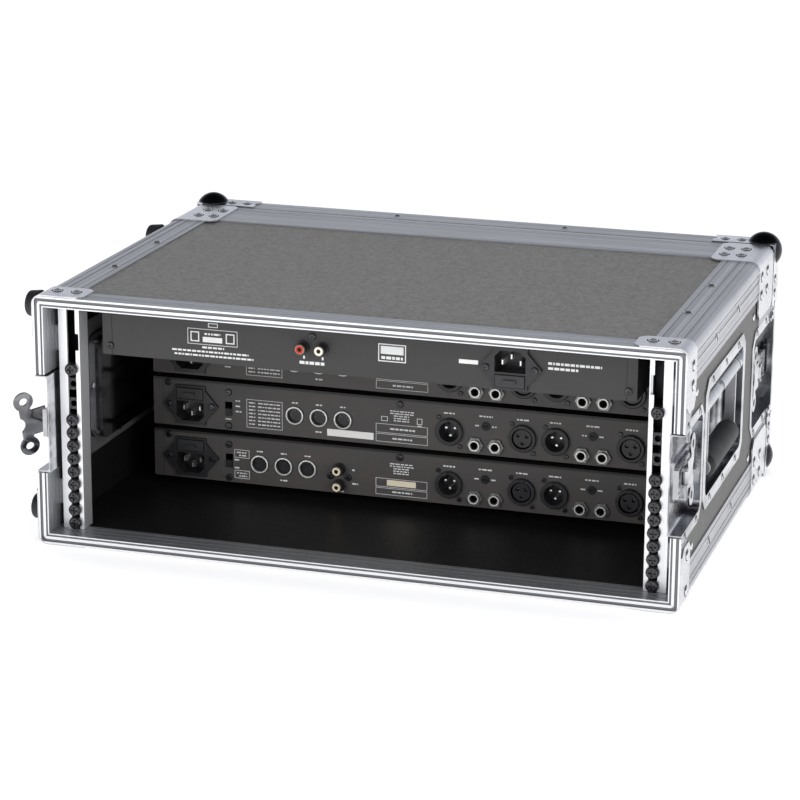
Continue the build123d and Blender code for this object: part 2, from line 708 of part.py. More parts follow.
def ball_corner(z, level):
    """A right-hand lid corner: a ball cap and three notched plates, on top, side and back."""
    outer_z = sorted((z, z + level * SKIN))
    reach = sorted((z, z - level * BALL_PLATE))
    width = (Y_BACK - BALL_PLATE_WIDTH + 0.6, Y_BACK)
    notch = 5.0
    ball_z = Z_HIGH - BALL_RISE if level > 0 else Z_LOW - SKIN + BALL_RADIUS
    with BuildPart() as corner:
        with Locations((HALF - BALL_INSET, Y_BACK - 9.5, ball_z)):
            Sphere(BALL_RADIUS)
        block((0, 2 * HALF), (Y_BACK - 60, width[0]), (Z_LOW - 60, Z_HIGH + 60), mode=Mode.SUBTRACT)
        block((HALF - BALL_PLATE, HALF + SKIN), width, outer_z)
        block((HALF, HALF + SKIN), width, reach)
        end_strip = sorted((z + level * SKIN, z - level * BALL_PLATE_WIDTH))
        block((HALF - BALL_PLATE, HALF + SKIN), (Y_BACK, Y_BACK + SKIN), end_strip)
        tall = sorted((z + level * SKIN, z - level * BALL_PLATE))
        block((HALF - BALL_PLATE_WIDTH, HALF + SKIN), (Y_BACK, Y_BACK + SKIN), tall)
        for place, turn in (
            ((HALF - BALL_PLATE, width[0] + BALL_PLATE_WIDTH / 2, z), (0, 0, 45)),
            ((HALF - BALL_PLATE, Y_BACK, z - level * BALL_PLATE_WIDTH / 2), (0, 45, 0)),
            ((HALF, width[0] + BALL_PLATE_WIDTH / 2, z - level * BALL_PLATE), (45, 0, 0)),
            ((HALF - BALL_PLATE_WIDTH / 2, Y_BACK, z - level * BALL_PLATE), (0, 45, 0)),
        ):
            with Locations(Location(place, turn)):
                Box(notch, notch, notch, mode=Mode.SUBTRACT)
        block((0, HALF), (Y_BACK - 60, Y_BACK), (Z_LOW, Z_HIGH), mode=Mode.SUBTRACT)
    return corner.part


ball_corners = [ball_corner(Z_HIGH, 1), ball_corner(Z_LOW, -1)]
save(
    group([mirrored(corner, left) for corner in ball_corners for left in (False, True)]),
    "lid_ball_corners",
)

with BuildPart() as lid_rivets:
    places = []
    middle = Y_BACK - 11.5
    for x in (75.0, -75.0):
        places.append(on_top(x, middle))
        places += [on_back(x, Z_HIGH - 13.0), on_back(x, Z_LOW + 13.0)]
    for side in (-1, 1):
        for x in (228.0, 214.0):
            places.append(on_top(side * x, middle, plate_top))
            places += [on_back(side * x, Z_HIGH - 11.5, Y_BACK + SKIN)]
            places += [on_back(side * x, Z_LOW + 11.5, Y_BACK + SKIN)]
        for drop in (30.0, 42.0):
            for height in (Z_HIGH - drop, Z_LOW + drop):
                places.append(on_side(side, middle, height, plate_face))
                places.append(on_back(side * (HALF - 11.5), height, Y_BACK + SKIN))
        for level in (-1, 1):
            places.append(on_side(side, middle - 5.0, LATCH_Z + level * 41.5, HALF + 1))
    heads(places, 3.0, 1.3)
save(lid_rivets.part, "lid_rivets")

# Rack rails, nuts and screws

RAIL_LOW = PLY + SKIN + 0.2
RAIL_HIGH = CEILING - SKIN - 0.2
HOLE_X = HOLE_SPACING / 2
RAIL_FACE = Y_REAR + RAIL_SETBACK
LUGS = ((24.0, 44.0), (150.0, 170.0))


def rack_rail(notch):
    """The right-hand rear rail: a slotted channel on two lugs from the wall, with a nut-loading notch."""
    cavity_end = RAIL_FACE + RAIL_DEPTH - RAIL_WALL
    height = (RAIL_LOW, RAIL_HIGH)
    with BuildPart() as rail:
        block((RAIL_INNER, RAIL_OUTER), (RAIL_FACE, RAIL_FACE + RAIL_DEPTH), height)
        for lug in LUGS:
            block((RAIL_OUTER, WALL), (Y_REAR + RIM_LIP + 1, RAIL_FACE + RAIL_DEPTH - 1), lug)
        inside = (RAIL_INNER + RAIL_WALL, RAIL_OUTER - RAIL_WALL)
        block(inside, (RAIL_FACE + RAIL_WALL, cavity_end), around(Z_MID, 200), mode=Mode.SUBTRACT)
        slot = around(HOLE_X, SLOT_WIDTH / 2)
        block(slot, (RAIL_FACE - 1, RAIL_FACE + 3), around(Z_MID, 200), mode=Mode.SUBTRACT)
        block((RAIL_INNER + 0.9, HOLE_X), (RAIL_FACE - 1, RAIL_FACE + 3), notch, mode=Mode.SUBTRACT)
    return rail.part


right_notch = (159.5, 174.5)
left_notch = (153.5, 167.0)
rails = [
    mirrored(rack_rail(left_notch if left else right_notch), left, front)
    for left in (False, True)
    for front in (False, True)
]
save(group(rails), "rack_rails")

LOW_SCREW = 12.6
left_heights = [LOW_SCREW + 10.6 * i for i in range(9)] + [138.5]
right_heights = [LOW_SCREW + 10.3 * i for i in range(9)] + [146.5]
spare_heights = [110.0, 110.0 + 15.875]
front_heights = [SLOT_BOTTOM + slot * UNIT + offset for slot in range(4) for offset in (6.0, 37.75)]


def rear_places(face):
    """Plane at each loaded rear hole position, left then right."""
    left = [on_rear(-HOLE_X, z, face) for z in left_heights]
    return left + [on_rear(HOLE_X, z, face) for z in right_heights]


def cross_screw(shank):
    """A pan-head screw with a cross recess: head on +Z, shank down -Z."""
    with BuildPart() as screw:
        with BuildSketch():
            Circle(HEAD_RADIUS)
        extrude(amount=HEAD_HEIGHT)
        fillet(screw.edges().group_by(Axis.Z)[-1], 1.6)
        with BuildSketch(Plane.XY.offset(HEAD_HEIGHT - 1.6)):
            Rectangle(5.6, 1.3)
            Rectangle(1.3, 5.6)
        extrude(amount=2, mode=Mode.SUBTRACT)
        with BuildSketch():
            Circle(SHANK_RADIUS)
        extrude(amount=-shank)
    return screw.part


front_face = RAIL_FACE_FRONT + PANEL_THICKNESS
with BuildPart() as rack_screws:
    with Locations(*[plane.location for plane in rear_places(RAIL_FACE)]):
        add(cross_screw(9.0))
    front_planes = [on_back(side * HOLE_X, z, front_face) for side in (-1, 1) for z in front_heights]
    with Locations(*[plane.location for plane in front_planes]):
        add(cross_screw(12.0))
save(rack_screws.part, "rack_screws")


def rail_nut():
    """A sliding nut with its front face on Z = 0 and its body down -Z."""
    with BuildPart() as nut:
        with BuildSketch():
            Rectangle(9.6, 9.4)
            Circle(NUT_BORE, mode=Mode.SUBTRACT)
        extrude(amount=-5.0)
    return nut.part


nut_face = RAIL_FACE + RAIL_WALL + 0.1
with BuildPart() as rail_nuts:
    nut_places = rear_places(nut_face)
    nut_places += [on_rear(side * HOLE_X, z, nut_face) for side in (-1, 1) for z in spare_heights]
    behind = RAIL_FACE_FRONT - RAIL_WALL - 0.1
    nut_places += [on_back(side * HOLE_X, z, behind) for side in (-1, 1) for z in front_heights]
    with Locations(*[plane.location for plane in nut_places]):
        add(rail_nut())
save(rail_nuts.part, "rail_nuts")


# Rubber feet on the left side


def foot(y, z, face):
    with BuildPart() as bumper:
        with BuildSketch(on_side(-1, y, z, face)):
            Circle(FOOT_RADIUS)
        extrude(amount=HALF + FOOT_HEIGHT - face, taper=6)
        fillet(bumper.faces().sort_by(Axis.X)[0].edges(), 2.5)
        with BuildSketch(on_side(-1, y, z, HALF + FOOT_HEIGHT - 6.0)):
            Circle(3.6)
        extrude(amount=8, mode=Mode.SUBTRACT)
    return bumper.part


feet = []
for height in (Z_HIGH - 11.0, Z_LOW + 24.0):
    feet.append(foot(Y_REAR + PLATE_DEPTH - FOOT_RADIUS, height, plate_face))
    feet.append(foot(Y_REAR + 265.0, height, HALF))
save(group(feet), "side_feet")


# Devices. Places on a rear panel are measured from the middle of the case and from the chassis's underside.

XLR_OUT = (37.0, 124.5)
XLR_IN = (97.5, 185.5)
JACKS = (58.5, 75.5, 146.0, 163.0)
TRIMS = (67.0, 154.5)
XLR_HEIGHT = 17.0
JACK_HEIGHT = 8.0
TRIM_HEIGHT = 24.0
INLET_X = -184.7
TOP_INLET_X = 116.3
SWITCH_X = -151.6
SWITCH_HEIGHT = 18.2
SWITCHED = (0, 1)  # devices with a slide switch
DIN_HEIGHT = 18.0
DINS = {0: (-124.8, -104.0, -83.4), 1: (-94.2, -73.5, -52.9), 2: (-94.2, -73.5, -52.9)}
PHONO = {0: ((-56.0, 20.6), (-56.0, 7.0)), 3: ((-47.7, 19.5), (-32.4, 19.5))}
XLR_RADIUS = 11.2
JACK_RADIUS = 5.9
DIN_RADIUS = 7.4
PHONO_RADIUS = 4.2
INLET_HALF = (13.3, 16.4)
DRAWER_HALF = (11.6, 4.9)
DRAWER_RISE = 9.8  # drawer and socket, from the inlet's centre
SOCKET_DROP = 5.2


def chassis_bottom(slot):
    return SLOT_BOTTOM + CHASSIS_LIFT + slot * UNIT


def chassis_rear(slot):
    return TOP_REAR if slot == 3 else LOW_REAR


def chassis_half(slot):
    return TOP_CHASSIS_HALF if slot == 3 else LOW_CHASSIS_HALF


def rear_points(slot, xs, height):
    """Planes on a device's rear panel, facing out, at one height above its underside."""
    return [on_rear(x, chassis_bottom(slot) + height, chassis_rear(slot)) for x in xs]


def inlet_centre(slot):
    """Centre of a mains inlet on its rear panel."""
    x = TOP_INLET_X if slot == 3 else INLET_X
    return x, chassis_bottom(slot) + (17.4 if slot == 3 else 19.0)


def chassis(slot):
    """A folded sheet box, closed all round, with a hole for each rear connector."""
    rear = chassis_rear(slot)
    low = chassis_bottom(slot)
    half = chassis_half(slot)
    x, z = inlet_centre(slot)
    cuts = [(point, PHONO_RADIUS) for point in PHONO.get(slot, ())]
    if slot != 3:
        cuts += [((at, XLR_HEIGHT), XLR_RADIUS - 1.5) for at in XLR_OUT + XLR_IN]
        cuts += [((at, JACK_HEIGHT), 4.0) for at in JACKS]
        cuts += [((at, TRIM_HEIGHT), 2.6) for at in TRIMS]
        cuts += [((at, DIN_HEIGHT), DIN_RADIUS - 1.0) for at in DINS[slot]]
    with BuildPart() as box:
        block(around(0, half), (rear, RAIL_FACE_FRONT), (low, low + CHASSIS_HEIGHT))
        fillet(box.edges().filter_by(Axis.Y), 1.0)
        block(
            around(0, half - SHEET),
            (rear + SHEET, RAIL_FACE_FRONT - SHEET),
            (low + SHEET, low + CHASSIS_HEIGHT - SHEET),
            mode=Mode.SUBTRACT,
        )
        for seam in (8.0 - half, half - 8.0):
            block(around(seam, 0.25), (rear - 1, rear + 0.4), (low, low + CHASSIS_HEIGHT), mode=Mode.SUBTRACT)
        hole = (rear - 1, rear + 2 * SHEET)
        block(around(x, INLET_HALF[0] - 0.6), hole, around(z, INLET_HALF[1] - 0.6), mode=Mode.SUBTRACT)
        for (at, height), radius in cuts:
            with BuildSketch(on_rear(at, low + height, rear - 1)):
                Circle(radius)
            extrude(amount=-2 - SHEET, mode=Mode.SUBTRACT)
        if slot in SWITCHED:
            switch = around(low + SWITCH_HEIGHT, 6.0)
            block(around(SWITCH_X, 3.2), hole, switch, mode=Mode.SUBTRACT)
    return box.part


for slot in range(4):
    save(chassis(slot), f"device_{slot + 1}_chassis")

with BuildPart() as device_front_panels:
    for slot in range(4):
        low = SLOT_BOTTOM + slot * UNIT
        block(around(0, PANEL_WIDTH / 2), (RAIL_FACE_FRONT, front_face), (low, low + PANEL_HEIGHT))
    for plane in front_planes:
        with BuildSketch(plane):
            SlotOverall(10.4, 6.6)
        extrude(amount=-PANEL_THICKNESS, mode=Mode.SUBTRACT)
save(device_front_panels.part, "device_front_panels")


def inlet(slot):
    """A mains inlet with pointed ears, a keyed socket with three blades, and a pocket for the fuse drawer."""
    x, z = inlet_centre(slot)
    rear = chassis_rear(slot)
    flip = -1 if slot == 3 else 1
    face = on_rear(x, z, rear)
    with BuildPart() as body:
        with BuildSketch(face):
            Rectangle(2 * INLET_HALF[0], 2 * INLET_HALF[1])
            with BuildLine():
                Polyline((-24.5, 0), (-13, 13), (13, 13), (24.5, 0), (13, -13), (-13, -13), close=True)
            make_face()
        extrude(amount=2.4)
        inside = [half - 0.6 - FIT for half in INLET_HALF]
        block(around(x, inside[0]), (rear, rear + 26), around(z, inside[1]))
        with BuildSketch(on_rear(x, z - flip * SOCKET_DROP, rear - 2.4)) as mouth:
            Rectangle(24.0, 16.8)
            far = mouth.vertices().group_by(Axis.Y)[0 if flip > 0 else -1]
            chamfer(far, 4.5)
        extrude(amount=-16, mode=Mode.SUBTRACT)
        with BuildSketch(on_rear(x, z + flip * DRAWER_RISE, rear - 2.4)):
            Rectangle(2 * DRAWER_HALF[0] + 0.6, 2 * DRAWER_HALF[1] + 0.6)
        extrude(amount=-22, mode=Mode.SUBTRACT)
        with BuildSketch(on_rear(x, z - flip * SOCKET_DROP, rear + 14)):
            with Locations((-7, flip * 1.6), (7, flip * 1.6), (0, -flip * 3.0)):
                Rectangle(2.0, 4.6)
        extrude(amount=12)
        with BuildSketch(on_rear(x, z, rear - 3)):
            with Locations((-19, 0), (19, 0)):
                Circle(1.7)
        extrude(amount=-3.6, mode=Mode.SUBTRACT)
    return body.part


def fuse_drawer(slot):
    """A fuse carrier that pulls straight out, with a finger lip."""
    x, z = inlet_centre(slot)
    rear = chassis_rear(slot)
    z += -DRAWER_RISE if slot == 3 else DRAWER_RISE
    with BuildPart() as drawer:
        block(around(x, DRAWER_HALF[0]), (rear - 3.6, rear + 18), around(z, DRAWER_HALF[1]))
        lip = drawer.faces().sort_by(Axis.Y)[0]
        fillet(lip.edges(), 0.8)
        block(around(x, 5.0), (rear - 5.0, rear - 3.4), around(z, 1.2))
        block(around(x, 9.0), (rear + 2, rear + 17), (z - 3.4, z + 9), mode=Mode.SUBTRACT)
    return drawer.part


save(group([inlet(slot) for slot in range(4)]), "mains_inlets")
for slot in range(4):
    save(fuse_drawer(slot), f"fuse_drawer_{slot + 1}")


def round_socket(radius, barrel, rise, bore, bore_depth, depth=14.0):
    """A flanged round connector: flange on Z = 0 up to rise, barrel behind the panel, bore from the front."""
    with BuildPart() as socket:
        with BuildSketch():
            Circle(radius)
        extrude(amount=rise)
        fillet(socket.edges().group_by(Axis.Z)[-1], min(rise, 1.6) * 0.45)
        with BuildSketch():
            Circle(barrel - FIT)
        extrude(amount=-depth)
        with BuildSketch(Plane.XY.offset(rise)):
            Circle(bore)
        extrude(amount=-bore_depth, mode=Mode.SUBTRACT)
    return socket.part


def xlr_out():
    """A male outlet: open shell with three pins."""
    with BuildPart() as outlet:
        add(round_socket(XLR_RADIUS, XLR_RADIUS - 1.5, 3.0, 8.2, 14.0, 18.0))
        with BuildSketch(Plane.XY.offset(-11.5)):
            with PolarLocations(4.2, 3, start_angle=30):
                Circle(1.2)
        extrude(amount=9.0)
        with BuildSketch(Plane.XY.offset(3.0)):
            with Locations((0, 9.0)):
                Rectangle(3.4, 3.0)
        extrude(amount=-8, mode=Mode.SUBTRACT)
    return outlet.part


def xlr_in():
    """A female inlet: a plug with three holes inside a ring, and a push tab above."""
    with BuildPart() as inlet_socket:
        add(round_socket(XLR_RADIUS, XLR_RADIUS - 1.5, 3.0, 8.6, 10.0, 18.0))
        with BuildSketch(Plane.XY.offset(-8.0)):
            Circle(7.4)
        extrude(amount=9.6)
        with BuildSketch(Plane.XY.offset(2.0)):
            with PolarLocations(4.0, 3, start_angle=-90):
                Circle(1.5)
        extrude(amount=-9.0, mode=Mode.SUBTRACT)
        with BuildSketch(Plane.XY.offset(2.9)):
            with Locations((0, 9.8)):
                Rectangle(6.0, 2.2)
        extrude(amount=1.2)
    return inlet_socket.part


def jack():
    """A quarter-inch jack: hexagon nut, threaded collar and a deep bore."""
    with BuildPart() as socket:
        with BuildSketch():
            RegularPolygon(JACK_RADIUS + 0.7, 6)
        extrude(amount=2.2)
        with BuildSketch():
            Circle(4.6)
        extrude(amount=4.6)
        with BuildSketch():
            Circle(4.0 - FIT)
        extrude(amount=-18)
        with BuildSketch(Plane.XY.offset(4.6)):
            Circle(3.2)
        extrude(amount=-20, mode=Mode.SUBTRACT)
    return socket.part


def din():
    """A five-pin DIN socket: rolled ring round a face with five holes and a key."""
    with BuildPart() as socket:
        add(round_socket(DIN_RADIUS, DIN_RADIUS - 1.0, 1.6, 6.2, 3.6, 12.0))
        with BuildSketch(Plane.XY.offset(-2.1)):
            for angle in (0, 45, 90, 135, 180):
                with PolarLocations(3.9, 1, start_angle=angle):
                    Circle(0.9)
            with Locations((0, -5.4)):
                Rectangle(2.2, 1.6)
        extrude(amount=-7, mode=Mode.SUBTRACT)
    return socket.part


def phono():
    """A phono socket: insulating ring, metal collar standing out, and a centre bore."""
    with BuildPart() as socket:
        with BuildSketch():
            Circle(PHONO_RADIUS + 1.0)
        extrude(amount=1.6)
        with BuildSketch():
            Circle(3.9)
        extrude(amount=8.5)
        fillet(socket.edges().group_by(Axis.Z)[-1], 0.5)
        with BuildSketch():
            Circle(PHONO_RADIUS - FIT)
        extrude(amount=-8)
        with BuildSketch(Plane.XY.offset(8.5)):
            Circle(1.7)
        extrude(amount=-8, mode=Mode.SUBTRACT)
    return socket.part


def trimmer():
    """A recessed level trimmer: a thin bezel round a slotted adjuster."""
    with BuildPart() as trim:
        with BuildSketch():
            Circle(3.6)
        extrude(amount=0.8)
        with BuildSketch():
            Circle(2.6 - FIT)
        extrude(amount=-9)
        with BuildSketch(Plane.XY.offset(0.8)):
            Rectangle(4.0, 0.9)
        extrude(amount=-1.2, mode=Mode.SUBTRACT)
    return trim.part


def small_screw(radius=2.9):
    """A panel screw's head with its cross recess."""
    with BuildPart() as screw:
        with BuildSketch():
            Circle(radius)
        extrude(amount=1.5)
        fillet(screw.edges().group_by(Axis.Z)[-1], 0.3 * radius)
        with BuildSketch(Plane.XY.offset(1.5)):
            Rectangle(1.04 * radius, 0.28 * radius)
            Rectangle(0.28 * radius, 1.04 * radius)
        extrude(amount=-0.8, mode=Mode.SUBTRACT)
    return screw.part


def fitted(shape, planes):
    """One separate solid of a shape on each plane."""
    return group([shape.located(plane.location) for plane in planes])


low_slots = (0, 1, 2)
save(fitted(xlr_out(), [p for s in low_slots for p in rear_points(s, XLR_OUT, XLR_HEIGHT)]), "xlr_outputs")
save(fitted(xlr_in(), [p for s in low_slots for p in rear_points(s, XLR_IN, XLR_HEIGHT)]), "xlr_inputs")
save(fitted(jack(), [p for s in low_slots for p in rear_points(s, JACKS, JACK_HEIGHT)]), "jack_sockets")
save(fitted(trimmer(), [p for s in low_slots for p in rear_points(s, TRIMS, TRIM_HEIGHT)]), "level_trimmers")
save(fitted(din(), [p for s in low_slots for p in rear_points(s, DINS[s], DIN_HEIGHT)]), "din_sockets")
phono_places = []
for slot, points in PHONO.items():
    for x, height in points:
        phono_places += rear_points(slot, (x,), height)
save(fitted(phono(), phono_places), "phono_sockets")

screw_places = []
for slot in low_slots:
    screw_places += rear_points(slot, (-204.5,), 36.5)
    screw_places += rear_points(slot, (-4.5,), 35.5)
for slot in SWITCHED:
    for height in (SWITCH_HEIGHT + 14.2, SWITCH_HEIGHT - 14.2):
        screw_places += rear_points(slot, (SWITCH_X,), height)
screw_places += rear_points(0, (-63.5, -48.5), 14.0)
screw_places += rear_points(3, (-206.5, 206.5), 7.5)
screw_places += rear_points(3, (-40.0,), 28.5)
for slot in range(4):
    x, z = inlet_centre(slot)
    screw_places += [on_rear(x + side * 19.0, z, chassis_rear(slot) - 2.4) for side in (-1, 1)]
xlr_screw_places = []
for slot in low_slots:
    for at in XLR_OUT + XLR_IN:
        xlr_screw_places += rear_points(slot, (at - 9.0,), XLR_HEIGHT + 11.2)
        xlr_screw_places += rear_points(slot, (at + 8.8,), XLR_HEIGHT - 11.9)
panel_heads = [small_screw().located(plane.location) for plane in screw_places]
xlr_heads = [small_screw(1.9).located(plane.location) for plane in xlr_screw_places]
save(group(panel_heads + xlr_heads), "device_screws")


def slide_switch(slot):
    """A slide switch's tongue, in its slot in the rear panel."""
    x, z, rear = SWITCH_X, chassis_bottom(slot) + SWITCH_HEIGHT, chassis_rear(slot)
    with BuildPart() as tongue:
        block(around(x, 2.9), (rear - 0.4, rear + 4.0), (z - 5.4, z + 0.4))
        for step in range(3):
            edge = z - 4.6 + step * 1.9
            block(around(x, 2.4), (rear - 1.6, rear - 0.2), (edge, edge + 0.9))
    return tongue.part


for slot in SWITCHED:
    save(slide_switch(slot), f"slide_switch_{slot + 1}")
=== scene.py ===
"""Looks for the equipment rack case: finishes on its CAD nodes, and the small pieces CAD leaves plain."""

import math
import random

import bmesh
import bpy
import numpy as np
from mathutils import Matrix, Vector


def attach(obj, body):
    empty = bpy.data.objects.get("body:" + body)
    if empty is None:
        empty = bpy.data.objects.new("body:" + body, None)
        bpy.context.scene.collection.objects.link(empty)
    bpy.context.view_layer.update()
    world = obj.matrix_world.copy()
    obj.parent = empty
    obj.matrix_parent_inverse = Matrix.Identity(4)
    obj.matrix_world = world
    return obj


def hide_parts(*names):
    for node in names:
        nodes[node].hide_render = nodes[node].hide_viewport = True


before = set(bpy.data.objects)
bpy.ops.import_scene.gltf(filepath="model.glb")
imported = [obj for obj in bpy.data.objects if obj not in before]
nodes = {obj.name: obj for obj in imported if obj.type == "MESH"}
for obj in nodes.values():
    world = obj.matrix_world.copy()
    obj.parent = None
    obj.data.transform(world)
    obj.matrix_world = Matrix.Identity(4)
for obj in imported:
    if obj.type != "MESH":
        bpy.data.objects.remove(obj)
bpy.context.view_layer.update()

# The case's dimensions in millimetres, as in the CAD

MM = 0.001
WIDTH, HEIGHT = 513.0, 200.6
BODY_DEPTH, LID_DEPTH, BALL_OVERHANG = 350.0, 24.0, 6.0
SKIN, PLY = 1.2, 6.0
HALF = WIDTH / 2
Z_LOW = -SKIN
Z_HIGH = Z_LOW + HEIGHT
Z_MID = (Z_LOW + Z_HIGH) / 2
Y_REAR = -(BODY_DEPTH + LID_DEPTH + BALL_OVERHANG) / 2
Y_FRONT = Y_REAR + BODY_DEPTH
Y_BACK = Y_FRONT + LID_DEPTH
Y_CENTRE = (Y_REAR + Y_FRONT) / 2
WALL = HALF - SKIN - PLY
CEILING = Z_HIGH - SKIN - PLY
LID_INSIDE = Y_BACK - SKIN - PLY
RESTING = Z_LOW - SKIN  # the case stands on its corner plates

# The devices: one in each rack unit, the top one deeper than the rest

UNIT = 44.45
TOP_SLOT = 3
CHASSIS_BOTTOM = 14.9  # underside of the lowest chassis
FOLD_HEIGHT = 38.0  # of a chassis's top fold above its underside
LOW_REAR, TOP_REAR = Y_REAR + 146.6, Y_REAR + 34.0

# Limits of the regions coloured by place: the black film, and painted light and shade. The bands are
# (middle, half its width): grooves of painted shade are measured from the rim's outer edge, rail channels of
# painted shade from the body's middle.

FILM = 0.2  # depth of the black film on the panels' inner faces
FACE_HIGHLIGHT = 0.35  # the rim's rear face carries a painted highlight down to this depth
BALL_START = 1.5  # the painted dark reflection on the balls starts this far outside the case's faces
FACE_GROOVES = ((2.6, 1.2), (6.75, 0.75))
CHANNEL_ACROSS, CHANNEL_ALONG = (234.25, 6.8), (149.5, 6.05)

# Connectors on the low devices: distances across, heights above a chassis's underside, the circles that
# pins and contacts stand on, and the distance from a mains inlet's middle to its socket's

XLR_OUTPUTS, XLR_INPUTS = (37.0, 124.5), (97.5, 185.5)
JACKS = (58.5, 75.5, 146.0, 163.0)
TRIMMERS = (67.0, 154.5)
DINS = {0: (-124.8, -104.0, -83.4), 1: (-94.2, -73.5, -52.9), 2: (-94.2, -73.5, -52.9)}
XLR_HEIGHT, JACK_HEIGHT, DIN_HEIGHT = 17.0, 8.0, 18.0
XLR_PIN_CIRCLE, XLR_CONTACT_CIRCLE, DIN_CIRCLE = 4.2, 4.0, 3.9
SOCKET_DROP = 5.2

# Camera

FOCAL_LENGTH = 125.315
AZIMUTH, ELEVATION, ROLL = 17.165, 16.226, 0.36
TARGET = (0, 0.010, 0.0988)
DISTANCE = 2.281665
SHIFT_LEFT, SHIFT_DOWN = 0.020447, 0.013934

scene = bpy.context.scene
camera_data = bpy.data.cameras.new("camera")
camera_data.lens = FOCAL_LENGTH
camera_data.sensor_width = 36.0
camera_data.clip_end = 30.0
camera = bpy.data.objects.new("camera", camera_data)
scene.collection.objects.link(camera)
scene.camera = camera
azimuth, elevation, roll = (math.radians(angle) for angle in (AZIMUTH, ELEVATION, ROLL))
back = Vector(
    (
        math.sin(azimuth) * math.cos(elevation),
        -math.cos(azimuth) * math.cos(elevation),
        math.sin(elevation),
    )
)
level = Vector((0, 0, 1)).cross(back).normalized()
upright = back.cross(level)
right = level * math.cos(roll) + upright * math.sin(roll)
up = upright * math.cos(roll) - level * math.sin(roll)
eye = Vector(TARGET) + back * DISTANCE - right * SHIFT_LEFT - up * SHIFT_DOWN
camera.matrix_world = Matrix(
    (
        (right.x, up.x, back.x, eye.x),
        (right.y, up.y, back.y, eye.y),
        (right.z, up.z, back.z, eye.z),
        (0, 0, 0, 1),
    )
)
scene.view_settings.view_transform = "Standard"
scene.view_settings.look = "None"


# Materials


class Shader:
    """A material's node tree, with short ways to add nodes and join them."""

    def __init__(self, name):
        self.material = bpy.data.materials.new(name)
        self.material.use_nodes = True
        self.tree = self.material.node_tree
        self.tree.nodes.clear()
        self.surface = self.add("ShaderNodeBsdfPrincipled")
        output = self.add("ShaderNodeOutputMaterial")
        self.join(self.surface.outputs[0], output.inputs["Surface"])
        self.place = self.add("ShaderNodeTexCoord").outputs["Object"]
        self.split = None

    def add(self, kind, **settings):
        node = self.tree.nodes.new(kind)
        for key, value in settings.items():
            setattr(node, key, value)
        return node

    def join(self, source, socket):
        if isinstance(source, bpy.types.NodeSocket):
            self.tree.links.new(source, socket)
        else:
            socket.default_value = source

    def base(self, colour, roughness, metallic=0.0):
        self.join(colour, self.surface.inputs["Base Color"])
        self.join(roughness, self.surface.inputs["Roughness"])
        self.surface.inputs["Metallic"].default_value = metallic

    def axis(self, name):
        """One coordinate, in metres."""
        if self.split is None:
            self.split = self.add("ShaderNodeSeparateXYZ")
            self.join(self.place, self.split.inputs[0])
        return self.split.outputs[name]

    def calc(self, operation, a, b=0.0):
        """One sum: the operation is a name from Blender's Math node."""
        node = self.add("ShaderNodeMath", operation=operation)
        self.join(a, node.inputs[0])
        self.join(b, node.inputs[1])
        return node.outputs[0]

    def band(self, value, middle, half):
        """1 where a value in metres lies within half of the middle, both in millimetres."""
        node = self.add("ShaderNodeMath", operation="COMPARE")
        self.join(value, node.inputs[0])
        node.inputs[1].default_value = middle * MM
        node.inputs[2].default_value = half * MM
        return node.outputs[0]

    def stretched(self, scale):
        node = self.add("ShaderNodeMapping", vector_type="POINT")
        self.join(self.place, node.inputs["Vector"])
        node.inputs["Scale"].default_value = scale
        return node.outputs[0]

    def noise(self, scale=(1, 1, 1), detail=2.0, roughness=0.5):
        """Noise between 0 and 1; scale is in features per metre on each axis."""
        node = self.add("ShaderNodeTexNoise")
        self.join(self.stretched(scale), node.inputs["Vector"])
        node.inputs["Scale"].default_value = 1.0
        node.inputs["Detail"].default_value = detail
        node.inputs["Roughness"].default_value = roughness
        return node.outputs[0]

    def cells(self, scale, output="Distance"):
        """Cells; scale is in cells per metre on each axis."""
        node = self.add("ShaderNodeTexVoronoi")
        self.join(self.stretched(scale), node.inputs["Vector"])
        node.inputs["Scale"].default_value = 1.0
        return node.outputs[output]

    def span(self, value, low, high, to_low=0.0, to_high=1.0):
        """A value carried from one range to another, held at the ends."""
        node = self.add("ShaderNodeMapRange")
        for key, item in zip(range(5), (value, low, high, to_low, to_high)):
            self.join(item, node.inputs[key])
        return node.outputs[0]

    def mix(self, factor, first, second):
        """Two colours mixed."""
        node = self.add("ShaderNodeMix", data_type="RGBA")
        self.join(factor, node.inputs[0])
        for socket, value in ((node.inputs[6], first), (node.inputs[7], second)):
            self.join((*value, 1.0) if isinstance(value, tuple) else value, socket)
        return node.outputs[2]

    def blend(self, factor, first, second):
        """Two numbers mixed."""
        node = self.add("ShaderNodeMix", data_type="FLOAT")
        self.join(factor, node.inputs[0])
        self.join(first, node.inputs[2])
        self.join(second, node.inputs[3])
        return node.outputs[0]

    def relief(self, height, depth, strength):
        """Adds bumps of the given depth in millimetres, and returns the material, which is then finished."""
        node = self.add("ShaderNodeBump")
        self.join(height, node.inputs["Height"])
        node.inputs["Strength"].default_value = strength
        node.inputs["Distance"].default_value = depth * MM
        self.join(node.outputs[0], self.surface.inputs["Normal"])
        return self.material


def shade(colour, factor):
    return tuple(channel_shade * factor for channel_shade in colour)


